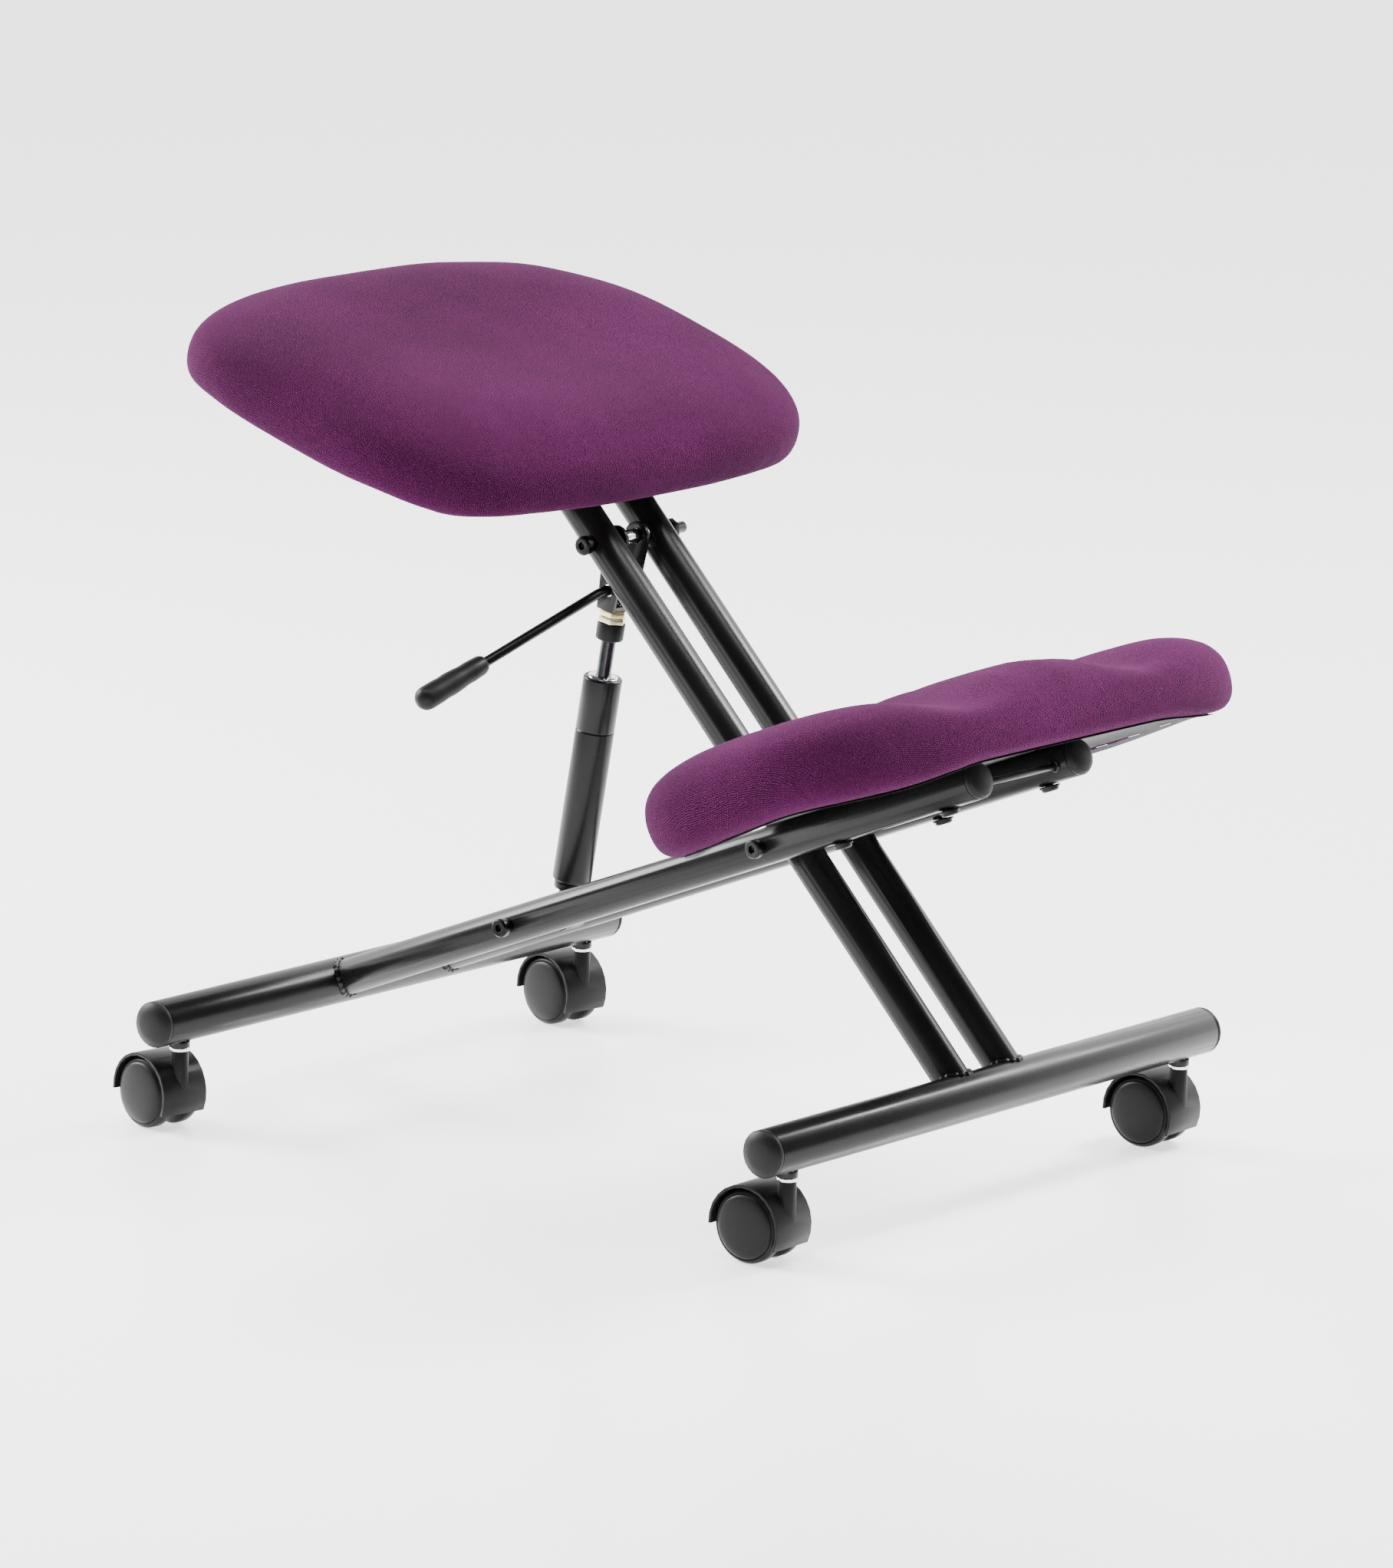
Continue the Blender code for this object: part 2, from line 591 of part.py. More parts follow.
def strut_frame():
    """The strut's frame: z from the lower bolt to the upper one, y across the chair."""
    forward = ACROSS.cross(STRUT_WAY)
    rotation = Matrix((forward, ACROSS, STRUT_WAY)).transposed().to_4x4()
    return Matrix.Translation(strut_point(0)) @ rotation


def make_strut_cylinder(parent):
    place = strut_frame()
    start, end = CYLINDER
    outer, bore = CYLINDER_RADIUS, CYLINDER_BORE
    seam = CYLINDER_SEAM
    profile = [(0.004, start), (outer - 0.002, start), (outer, start + 0.002),
               (outer, seam - 0.0006), (outer - 0.0006, seam), (outer, seam + 0.0006),
               (outer, end - 0.001), (outer - 0.001, end), (bore, end), (bore, start + 0.004),
               (0.004, start + 0.004)]
    add_piece("strut_cylinder", revolve(profile), place, BLACK_PAINT, parent)
    guide_out = bore - GAP
    guide_in = ROD_RADIUS + GAP
    guide = [(guide_in, end - GUIDE_LENGTH), (guide_out, end - GUIDE_LENGTH),
             (guide_out, end + 0.0004), (guide_out - 0.002, end + 0.0012),
             (guide_in + 0.001, end + 0.0012), (guide_in, end + 0.0006)]
    add_piece("strut_rod_guide", revolve(guide, hollow=True), place, CHROME, parent)
    eye_place = frame_at(strut_point(0), ACROSS, STRUT_WAY)
    eye = add_piece("strut_lower_eye",
                    revolve([(EYE_RADIUS, -EYE_HALF_WIDTH), (EYE_RADIUS, EYE_HALF_WIDTH)],
                            MEDIUM_ROUND),
                    eye_place, BLACK_OXIDE, parent)
    neck = [(0.0075, 0.008), (0.0075, 0.017), (0.0115, 0.018), (0.0115, start - GAP)]
    join(eye, "neck", revolve(neck, MEDIUM_ROUND), place)
    drill(eye, "sleeve", eye_place, SLEEVE_RADIUS + GAP, -0.02, 0.02, MEDIUM_ROUND)


def make_strut_rod(parent):
    place = strut_frame()
    profile = [(CYLINDER_BORE - GAP, PISTON[0]), (CYLINDER_BORE - GAP, PISTON[1]),
               (ROD_RADIUS, PISTON[1]), (ROD_RADIUS, ROD_TOP)]
    rod = add_piece("strut_rod", revolve(profile), place, ROD_GREY, parent)
    drill(rod, "pin", place, PIN_RADIUS + GAP, PIN[0] - 0.005, ROD_TOP + 0.01)
    hole = ROD_RADIUS + GAP
    collar = [(hole, COLLAR[0]), (COLLAR_RADIUS - 0.001, COLLAR[0]),
              (COLLAR_RADIUS, COLLAR[0] + 0.001), (COLLAR_RADIUS, COLLAR[1]),
              (hole, COLLAR[1])]
    add_piece("rod_collar", revolve(collar, hollow=True), place, BLACK_PLASTIC, parent)
    for label, low in zip(("lower", "upper"), NUT_SEATS):
        high = low + LOCKNUT_HEIGHT
        profile = [(LOCKNUT_RADIUS - 0.0006, low), (LOCKNUT_RADIUS, low + 0.0005),
                   (LOCKNUT_RADIUS, high - 0.0005), (LOCKNUT_RADIUS - 0.0006, high)]
        nut = add_piece(f"locknut_{label}", revolve(profile, 6), place, ZINC, parent)
        drill(nut, "thread", place, hole, low - 0.01, high + 0.01)


def make_clevis(parent):
    """The release clevis: a U of steel strip with the lever window in its right ear."""
    place = strut_frame()
    low, high = CLEVIS_BASE
    foot = CLEVIS_FOOT
    base = box_mesh((-foot, CLEVIS_Y - CLEVIS_OUTER, low), (foot, CLEVIS_Y + CLEVIS_OUTER, high))
    clevis = add_piece("release_clevis", base, place, BLACK_PAINT, parent)
    outline = [(-foot, low), (foot, low)]
    outline += arc_points(CLEVIS_EAR_RADIUS, 0.0, math.pi, 8, (0.0, STRUT_LENGTH))
    for side, sign in SIDES:
        edges = sorted((CLEVIS_Y + sign * CLEVIS_INNER, CLEVIS_Y + sign * CLEVIS_OUTER))
        join(clevis, f"ear_{side}", extrude_outline(outline, *edges), place)
    drill(clevis, "rod", place, ROD_RADIUS + GAP, low - 0.005, high + 0.005)
    top = frame_at(strut_point(STRUT_LENGTH), ACROSS, (0, 0, 1))
    drill(clevis, "bolt", top, CLEVIS_HOLE, -0.03, 0.03)
    window = frame_at(strut_point(LEVER_AT), ACROSS, (0, 0, 1))
    drill(clevis, "window", window, LEVER_WINDOW, -0.03, 0.0)


def lever_path():
    """(y, along) points: level over the release pin, then drooping out into the grip."""
    bend_steps = 4
    points = [(LEVER_INNER_Y, LEVER_AT), (LEVER_FULCRUM_Y - LEVER_RADIUS, LEVER_AT)]
    stride = LEVER_BEND / bend_steps
    for step in range(1, bend_steps + 1):
        angle = LEVER_DROOP * step / bend_steps
        y, along = points[-1]
        points.append((y - stride * math.cos(angle), along - stride * math.sin(angle)))
    y, along = points[-1]
    run = y - GRIP_FROM_Y + (GRIP_BORE - 0.002) * math.cos(LEVER_DROOP)
    points.append((y - run, along - run * math.tan(LEVER_DROOP)))
    return points


def make_lever(parent):
    path = lever_path()
    rings = []
    for index, (y, along) in enumerate(path):
        before = path[max(index - 1, 0)]
        after = path[min(index + 1, len(path) - 1)]
        tilt = math.atan2(before[1] - after[1], before[0] - after[0])
        ring = []
        for step in range(SMALL_ROUND):
            angle = 2 * math.pi * step / SMALL_ROUND
            out = LEVER_RADIUS * math.sin(angle)
            ring.append((LEVER_RADIUS * math.cos(angle), y - out * math.sin(tilt),
                         along + out * math.cos(tilt)))
        rings.append(ring)
    add_piece("lever_rod", stack(rings), strut_frame(), BLACK_PAINT, parent)
    make_grip(path[-2], parent)


def make_grip(last_bend, parent):
    """A swelling plastic grip with shallow finger grooves, pushed over the rod."""
    y, along = last_bend
    mouth = strut_point(along - (y - GRIP_FROM_Y) * math.tan(LEVER_DROOP), GRIP_FROM_Y)
    way = -ACROSS * math.cos(LEVER_DROOP) - STRUT_WAY * math.sin(LEVER_DROOP)
    profile = [(radius, height) for height, radius in GRIP_SHAPE]
    tip = dome_profile(GRIP_SHAPE[-1][1], GRIP_LENGTH - GRIP_TIP, GRIP_TIP, 4)
    profile += tip + [(0.0012, GRIP_LENGTH)]
    place = frame_at(mouth, way, STRUT_WAY)
    grip = add_piece("lever_grip", revolve(profile, MEDIUM_ROUND), place, BLACK_PLASTIC,
                     parent)
    drill(grip, "bore", place, LEVER_RADIUS + GAP, -0.01, GRIP_BORE, MEDIUM_ROUND)


def make_release_pin(parent):
    profile = [(PIN_RADIUS, PIN[0]), (PIN_RADIUS, PIN[1])]
    add_piece("release_pin", revolve(profile, SMALL_ROUND), strut_frame(), CHROME, parent)


def hood_meshes():
    """The castor hood's web, fender, stem boss and stub axle."""
    centre = (-WHEEL_BACK, WHEEL_Z)
    steps = 14
    shy = math.radians(2)               # keeps the web clear of the fender's ends
    inner = HOOD_RADIUS - HOOD_THICK
    fender = arc_points(HOOD_RADIUS, HOOD_FROM, HOOD_TO, steps, centre)
    fender += arc_points(inner, HOOD_TO, HOOD_FROM, steps, centre)
    web = arc_points(inner + 0.0006, HOOD_FROM + shy, HOOD_TO - shy, steps, centre)
    web += arc_points(0.007, math.pi, 2 * math.pi + HOOD_FROM, 6, centre)
    half = HOOD_HALF_WIDTH
    boss = revolve([(BOSS_RADIUS, 0.024), (BOSS_RADIUS, BOSS_TOP)])
    reach = WHEEL_OUT - 0.005
    axle = revolve([(AXLE_RADIUS, -reach), (AXLE_RADIUS, reach)], SMALL_ROUND)
    return (extrude_outline(web, -HOOD_WEB, HOOD_WEB), extrude_outline(fender, -half, half),
            boss, axle)


def wheel_mesh():
    """One disc of the twin wheel: rounded tread, blind bore and domed face."""
    bore = AXLE_RADIUS + GAP
    profile = [(bore, WHEEL_OUT - 0.0040), (bore, WHEEL_IN),
               (WHEEL_RADIUS - 0.0012, WHEEL_IN), (WHEEL_RADIUS, WHEEL_IN + 0.0012),
               (WHEEL_RADIUS, WHEEL_OUT - 0.0044), (WHEEL_RADIUS - 0.0020, WHEEL_OUT - 0.0018),
               (0.0120, WHEEL_OUT)]
    return revolve(profile, WHEEL_SIDES, math.pi / WHEEL_SIDES)


def make_castor(corner, bar_x, sign):
    """One castor: a swivelling hood and two wheels that roll separately."""
    turn = Matrix.Rotation(math.radians(SWIVEL_TURNS[corner]), 4, "Z")
    place = Matrix.Translation((bar_x, sign * STEM_Y, 0)) @ turn
    swivel = empty_at(f"swivel_{corner}", place)
    axle_place = place @ frame_at((-WHEEL_BACK, 0, WHEEL_Z), ACROSS, (0, 0, 1))
    web, fender, boss, axle = hood_meshes()
    hood = add_piece(f"castor_hood_{corner}", web, place, BLACK_PLASTIC, swivel)
    join(hood, "fender", fender, place)
    join(hood, "boss", boss, place)
    join(hood, "axle", axle, axle_place)
    drill(hood, "stem", place, STEM_RADIUS + GAP, STEM[0] - 0.001, BAR_Z)
    for side, wheel_sign in SIDES:
        way = frame_at((-WHEEL_BACK, 0, WHEEL_Z), ACROSS * wheel_sign, (0, 0, 1))
        add_piece(f"castor_wheel_{corner}_{side}", wheel_mesh(), place @ way, BLACK_PLASTIC,
                  swivel)


def build():
    for item in list(bpy.data.objects):
        bpy.data.objects.remove(item, do_unlink=True)
    make_bar("rear_crossbar", REAR_BAR_X)
    make_bar_caps("rear", REAR_BAR_X)
    make_stems("rear", REAR_BAR_X)
    make_kneeler_tubes()
    make_cross_rod()
    make_knee_pad()
    make_pivot()
    make_lower_mount()

    fold = empty_at("seat_fold", Matrix.Translation(PIVOT))
    make_bar("front_crossbar", FRONT_BAR_X, fold)
    make_bar_caps("front", FRONT_BAR_X, fold)
    make_stems("front", FRONT_BAR_X, fold)
    make_seat_tubes(fold)
    make_seat(fold)
    make_upper_mount(fold)

    make_strut_cylinder(empty_at("strut_tilt", strut_frame()))
    rod = empty_at("rod_slide", strut_frame())
    make_strut_rod(rod)
    make_clevis(rod)
    make_release_pin(empty_at("pin_slide", strut_frame()))
    make_lever(empty_at("lever_pivot", frame_at(strut_point(LEVER_AT, LEVER_FULCRUM_Y),
                                                STRUT_WAY)))

    for end, bar_x in (("rear", REAR_BAR_X), ("front", FRONT_BAR_X)):
        for side, sign in SIDES:
            make_castor(f"{end}_{side}", bar_x, sign)


build()
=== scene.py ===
"""Looks of a kneeling chair: fabric pads, powder-coated tubes, castors and their floor.

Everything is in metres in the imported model's frame: +X forwards, +Y to the sitter's left.
"""
import json
import math
import random

import bmesh
import bpy
import numpy as np
from mathutils import Matrix, Vector


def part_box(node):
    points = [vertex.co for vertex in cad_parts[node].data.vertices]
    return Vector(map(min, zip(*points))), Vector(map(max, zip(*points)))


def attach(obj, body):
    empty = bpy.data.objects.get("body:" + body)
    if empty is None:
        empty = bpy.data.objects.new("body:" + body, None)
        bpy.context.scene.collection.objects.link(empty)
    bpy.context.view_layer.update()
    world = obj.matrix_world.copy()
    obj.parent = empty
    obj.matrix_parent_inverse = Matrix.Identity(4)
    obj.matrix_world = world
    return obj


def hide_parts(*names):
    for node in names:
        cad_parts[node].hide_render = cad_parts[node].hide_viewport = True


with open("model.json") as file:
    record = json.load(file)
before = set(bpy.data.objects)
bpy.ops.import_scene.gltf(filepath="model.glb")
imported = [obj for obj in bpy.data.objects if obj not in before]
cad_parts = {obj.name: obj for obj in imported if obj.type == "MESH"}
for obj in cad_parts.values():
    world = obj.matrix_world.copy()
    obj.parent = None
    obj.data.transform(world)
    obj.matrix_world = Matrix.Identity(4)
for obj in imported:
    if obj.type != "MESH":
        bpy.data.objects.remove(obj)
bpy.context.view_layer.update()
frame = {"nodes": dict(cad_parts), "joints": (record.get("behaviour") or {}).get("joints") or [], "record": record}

CAMERA_TARGET = Vector((0.0025, 0.0002, 0.2489))
CAMERA_AZIMUTH = math.radians(39.26)
CAMERA_ELEVATION = math.radians(11.57)
CAMERA_ROLL = math.radians(0.87)
CAMERA_DISTANCE = 5.8536
LENS = 198.7945                    # millimetres, like the sensor
SENSOR = 36.0
WORLD_DIM = 0.10                   # the background's strength behind the camera
WORLD_BRIGHT = 3.0                 # and beyond the chair
FLOOR_GLOW = 1.3

ACROSS = Vector((0, 1, 0))
UP = Vector((0, 0, 1))
SIDES = (("right", -1), ("left", 1))
CORNERS = ("rear_right", "rear_left", "front_right", "front_left")

SEAT_PITCH = math.radians(17.5)
SEAT_CORNER = 3.37                 # how square the plan is: 2 would be an ellipse
KNEE_CORNER = 3.16
NOTCH_FRONT = -0.1047              # rear notch for the seat tubes, from the pad's middle
NOTCH_HALF_Y = 0.048
NOTCH_BLEND = 0.012

VOXEL = 0.0045
SIM_FRAMES = 20
PINNED_BELOW = 0.009               # the cloth is held below this height
SWELL_CAP = 0.004
SWELL_ROUNDS = 70                  # rounds of averaging that even out the swell

BOARD_INSET = 0.026                # insets are measured in from a pad's outline
COVER_INSET = 0.017
COVER_FLAT = 0.030                 # from here inwards the dust cover lies flat on the board
LAP_WIDTH = 0.012
COVER_THICK = 0.0002

STAPLE_INSET = 0.0240
STAPLE_PITCH = 0.027
STAPLE_HALF = 0.0045
STAPLE_LEG = 0.0020
STAPLE_WIRE = 0.0004
STAPLE_SEED = 7
KNEELER_TUBE_Y = 0.054             # no staples within TUBE_CLEARANCE of a kneeler tube's line
TUBE_CLEARANCE = 0.022

WELD_SIZE = 0.0019
ROD_WELD_SIZE = 0.0013
TREAD_ROUND = 0.0014
WHEEL_SIDES = 72

SHARP_DEGREES = 33
SHARP = math.radians(SHARP_DEGREES)
EDGE_ROUND = 0.0003
PLASTIC_ROUND = 0.0005
# The pads become cushions. The boards lie inside them and the pin is mostly hidden.
NOT_REFINED = ("seat_pad", "knee_pad", "knee_board", "seat_board", "release_pin")

# Pad edge: fraction of the height and the inset there
PAD_EDGE = ((0.0, 0.017), (0.03, 0.010), (0.10, 0.0045), (0.20, 0.0015), (0.33, 0.0002),
            (0.46, 0.0), (0.58, 0.0012), (0.69, 0.0042), (0.79, 0.0095), (0.87, 0.018),
            (0.93, 0.029), (0.965, 0.042), (0.985, 0.058), (1.0, 0.080))

JOINTS = {joint["name"]: joint for joint in frame["joints"]}


# ---------------------------------------------------------------- geometry helpers

def place_at(origin, z_way, x_hint):
    """A right-handed frame at origin with its z axis along z_way."""
    z_axis = Vector(z_way).normalized()
    y_axis = z_axis.cross(Vector(x_hint)).normalized()
    x_axis = y_axis.cross(z_axis)
    rotation = Matrix((x_axis, y_axis, z_axis)).transposed()
    return Matrix.Translation(origin) @ rotation.to_4x4()


def new_piece(name, bm, matrix, material, sharp=35):
    """Turns bm into an object; edges over sharp degrees stay crisp."""
    bmesh.ops.recalc_face_normals(bm, faces=bm.faces)
    mesh = bpy.data.meshes.new(name)
    bm.to_mesh(mesh)
    bm.free()
    mesh.shade_smooth()
    mesh.set_sharp_from_angle(angle=math.radians(sharp))
    mesh.materials.append(material)
    piece = bpy.data.objects.new(name, mesh)
    bpy.context.scene.collection.objects.link(piece)
    piece.matrix_world = matrix
    return piece


def bridge(bm, rings, closed=False):
    """Joins each ring of vertices to the next, and the last to the first or both ends shut."""
    pairs = list(zip(rings, rings[1:]))
    if closed:
        pairs.append((rings[-1], rings[0]))
    for low, high in pairs:
        count = len(low)
        for index in range(count):
            following = (index + 1) % count
            bm.faces.new((low[index], low[following], high[following], high[index]))
    if not closed:
        bm.faces.new(rings[0])
        bm.faces.new(rings[-1])


def revolve(profile, sides):
    """Turns (radius, height) points about z into a solid with flat ends."""
    bm = bmesh.new()
    rings = []
    for radius, height in profile:
        ring = []
        for step in range(sides):
            angle = 2 * math.pi * step / sides
            ring.append(bm.verts.new((radius * math.cos(angle), radius * math.sin(angle),
                                      height)))
        rings.append(ring)
    bridge(bm, rings)
    return bm


def superellipse(half_x, half_y, corner, count):
    """Points round a rectangle with rounded corners: an ellipse at corner 2, squarer above."""
    points = []
    for step in range(count):
        angle = 2 * math.pi * step / count
        cosine, sine = math.cos(angle), math.sin(angle)
        points.append((math.copysign(abs(cosine) ** (2 / corner), cosine) * half_x,
                       math.copysign(abs(sine) ** (2 / corner), sine) * half_y))
    return points


def smooth_step(value, low, high):
    """0 up to low, 1 from high on, and a smooth rise between them."""
    part = min(max((value - low) / (high - low), 0.0), 1.0)
    return part * part * (3 - 2 * part)


def area_of(outline):
    """The area inside a closed outline."""
    pairs = zip(outline, outline[1:] + outline[:1])
    return abs(sum(x * next_y - next_x * y for (x, y), (next_x, next_y) in pairs)) / 2


def pad_frame(node, pitch):
    """A pad's own frame, on its underside: x forwards, z up through it; half sizes, height."""
    rotation = Matrix.Rotation(pitch, 4, "Y")
    back = rotation.inverted()
    points = [back @ vertex.co for vertex in frame["nodes"][node].data.vertices]
    low = Vector([min(point[axis] for point in points) for axis in range(3)])
    high = Vector([max(point[axis] for point in points) for axis in range(3)])
    middle = (low + high) / 2
    place = rotation @ Matrix.Translation((middle.x, middle.y, low.z))
    return place, (high.x - low.x) / 2, (high.y - low.y) / 2, high.z - low.z


# ---------------------------------------------------------------- materials

class Paint:
    """A Principled material with helpers for the nodes that give it its surface."""

    def __init__(self, name, roughness, metallic=0.0, **sockets):
        self.material = bpy.data.materials.new(name)
        self.material.use_nodes = True
        self.tree = self.material.node_tree
        self.shader = self.tree.nodes["Principled BSDF"]
        self.shader.inputs["Roughness"].default_value = roughness
        self.shader.inputs["Metallic"].default_value = metallic
        for socket, value in sockets.items():
            self.shader.inputs[socket.replace("_", " ")].default_value = value
        self.coordinates = self.tree.nodes.new("ShaderNodeTexCoord")

    def node(self, kind, **inputs):
        made = self.tree.nodes.new(kind)
        for socket, value in inputs.items():
            self.set(made, socket.replace("_", " "), value)
        return made

    def set(self, node, socket, value):
        if isinstance(value, bpy.types.NodeSocket):
            self.tree.links.new(value, node.inputs[socket])
        else:
            node.inputs[socket].default_value = value

    def noise(self, scale, detail, vector=None):
        made = self.node("ShaderNodeTexNoise", Scale=scale, Detail=detail)
        self.tree.links.new(vector or self.coordinates.outputs["Object"],
                            made.inputs["Vector"])
        return made.outputs["Fac"]

    def math(self, operation, first, second=0.0):
        made = self.tree.nodes.new("ShaderNodeMath")
        made.operation = operation
        self.set(made, 0, first)
        self.set(made, 1, second)
        return made.outputs[0]

    def ramp(self, factor, low, high, at_low, at_high):
        """Maps factor from low..high to at_low..at_high."""
        made = self.node("ShaderNodeMapRange", Value=factor, From_Min=low, From_Max=high,
                         To_Min=at_low, To_Max=at_high)
        return made.outputs["Result"]

    def colours(self, factor, *stops):
        """Blends factor through (position, colour) stops."""
        made = self.node("ShaderNodeValToRGB", Fac=factor)
        ramp = made.color_ramp
        while len(ramp.elements) < len(stops):
            ramp.elements.new(0.5)
        for element, (position, colour) in zip(ramp.elements, stops):
            element.position = position
            element.color = (*colour, 1.0)
        return made.outputs["Color"]

    def bump(self, height, strength, distance, below=None):
        made = self.node("ShaderNodeBump", Height=height, Strength=strength,
                         Distance=distance)
        if below is not None:
            self.tree.links.new(below, made.inputs["Normal"])
        return made.outputs["Normal"]

    def finish(self, colour, roughness, normal):
        for socket, value in (("Base Color", colour), ("Roughness", roughness),
                              ("Normal", normal)):
            self.tree.links.new(value, self.shader.inputs[socket])
        return self.material


def powder_coat():
    """Semi-gloss black powder coat: faint orange peel, dull patches where hands rub it."""
    paint = Paint("powder_coat", 0.30, Specular_IOR_Level=0.22)
    peel = paint.noise(900, 2)
    patches = paint.noise(9, 4)
    rubbed = paint.ramp(patches, 0.42, 0.68, 0.25, 0.33)
    colour = paint.colours(patches, (0.3, (0.004, 0.004, 0.0045)), (0.7, (0.007, 0.007, 0.0075)))
    return paint.finish(colour, rubbed, paint.bump(peel, 0.10, 0.0002))


def moulded_plastic(name, roughness, shade, grain):
    """Black moulded plastic with a fine spark-eroded grain."""
    paint = Paint(name, roughness, Specular_IOR_Level=0.16)
    speck = paint.noise(grain, 2)
    cloud = paint.noise(14, 3)
    dull = paint.ramp(cloud, 0.35, 0.70, roughness - 0.05, roughness + 0.07)
    colour = paint.colours(cloud, (0.30, tuple(0.85 * part for part in shade)),
                           (0.75, tuple(1.2 * part for part in shade)))
    return paint.finish(colour, dull, paint.bump(speck, 0.18, 0.0002))


def plated(name, colour_stops, low, high):
    """A plated metal whose brightness and polish drift a little over the surface."""
    paint = Paint(name, (low + high) / 2, 1.0)
    cloud = paint.noise(60, 4)
    fine = paint.noise(1500, 2)
    return paint.finish(paint.colours(cloud, *colour_stops),
                        paint.ramp(cloud, 0.3, 0.7, low, high), paint.bump(fine, 0.05, 0.0001))


def plywood():
    """Raw plywood with thin plies along its edge."""
    paint = Paint("plywood", 0.72)
    stretch = paint.node("ShaderNodeMapping", Vector=paint.coordinates.outputs["Object"])
    stretch.inputs["Scale"].default_value = (8, 60, 420)
    grain = paint.noise(1.0, 6, stretch.outputs["Vector"])
    colour = paint.colours(grain, (0.30, (0.30, 0.19, 0.10)), (0.55, (0.52, 0.37, 0.22)),
                           (0.75, (0.62, 0.46, 0.29)))
    return paint.finish(colour, paint.ramp(grain, 0.3, 0.7, 0.6, 0.85),
                        paint.bump(grain, 0.3, 0.0003))


def woven(name, dark, middle, light, pitch):
    """A fine knitted cover: rows of loops, slubs, broad random changes of tone, a soft sheen, and painted shade:
    darker colour in the crevices between loops, lighter on their tops.
    """
    paint = Paint(name, 0.92, Sheen_Weight=0.06, Sheen_Roughness=0.5, Specular_IOR_Level=0.05)
    paint.shader.inputs["Sheen Tint"].default_value = (0.60, 0.20, 0.50, 1.0)
    laid = paint.node("ShaderNodeAttribute")
    laid.attribute_name = "weave"
    spread = paint.node("ShaderNodeSeparateXYZ", Vector=laid.outputs["Vector"])
    broad = paint.ramp(paint.noise(60, 2), 0.0, 1.0, -0.9 * pitch, 0.9 * pitch)
    close = paint.ramp(paint.noise(420, 2), 0.0, 1.0, -0.8 * pitch, 0.8 * pitch)
    drift = paint.math("ADD", broad, close)
    row = paint.math("DIVIDE", paint.math("ADD", spread.outputs["Y"], drift), pitch)
    along = paint.math("DIVIDE", paint.math("ADD", spread.outputs["X"], drift), pitch)
    thread = paint.math("SINE", paint.math("MULTIPLY", paint.math("FRACT", row), math.pi))
    shift = paint.math("MULTIPLY", paint.math("FLOOR", row), math.pi)
    loop = paint.math("SINE", paint.math(
        "ADD", paint.math("MULTIPLY", along, 2 * math.pi), shift))
    stitches = paint.math("MULTIPLY", thread, paint.ramp(loop, -1.0, 1.0, 0.35, 1.0))
    slub = paint.noise(700, 3)
    patch = paint.noise(210, 2)
    cloud = paint.noise(11, 4)
    height = paint.math("ADD", stitches, paint.math("MULTIPLY", slub, 0.5))
    uneven = paint.math("ADD", paint.math("MULTIPLY", cloud, 0.18),
                        paint.math("MULTIPLY", patch, 0.06))
    # Painted shade: the colour follows the loops' height, darker in the crevices between rows and loops and
    # lighter on loop tops and slubs. Cloud and patch add random tone.
    shade = paint.math("ADD", paint.math("MULTIPLY", height, 0.5), uneven)
    colour = paint.colours(shade, (0.25, dark), (0.52, middle), (0.85, light))
    soft = paint.bump(cloud, 0.15, 0.002)
    return paint.finish(colour, paint.ramp(slub, 0.3, 0.7, 0.85, 1.0),
                        paint.bump(height, 0.5, 0.0004, soft))


def felt():
    """Grey non-woven cloth that covers the undersides."""
    paint = Paint("dust_cover", 0.95)
    fibres = paint.noise(520, 6)
    cloud = paint.noise(30, 3)
    colour = paint.colours(paint.math("MULTIPLY", paint.math("ADD", fibres, cloud), 0.5),
                           (0.35, (0.035, 0.035, 0.037)), (0.65, (0.085, 0.085, 0.088)))
    return paint.finish(colour, paint.ramp(fibres, 0.3, 0.7, 0.85, 1.0),
                        paint.bump(fibres, 0.5, 0.0006))


def studio_floor():
    """White floor with a faint glow of its own and a weak blurred mirror."""
    material = bpy.data.materials.new("studio_floor")
    material.use_nodes = True
    tree = material.node_tree
    tree.nodes.clear()
    output = tree.nodes.new("ShaderNodeOutputMaterial")
    mix = tree.nodes.new("ShaderNodeMixShader")
    matt = tree.nodes.new("ShaderNodeBsdfDiffuse")
    gloss = tree.nodes.new("ShaderNodeBsdfGlossy")
    matt.inputs["Color"].default_value = (0.98, 0.98, 0.985, 1)
    gloss.inputs["Color"].default_value = (0.95, 0.97, 1.0, 1)
    gloss.inputs["Roughness"].default_value = 0.22
    mix.inputs["Fac"].default_value = 0.16
    lit = tree.nodes.new("ShaderNodeEmission")
    lit.inputs["Strength"].default_value = FLOOR_GLOW
    total = tree.nodes.new("ShaderNodeAddShader")
    tree.links.new(matt.outputs["BSDF"], mix.inputs[1])
    tree.links.new(gloss.outputs["BSDF"], mix.inputs[2])
    tree.links.new(mix.outputs["Shader"], total.inputs[0])
    tree.links.new(lit.outputs["Emission"], total.inputs[1])
    tree.links.new(total.outputs["Shader"], output.inputs["Surface"])
    return material


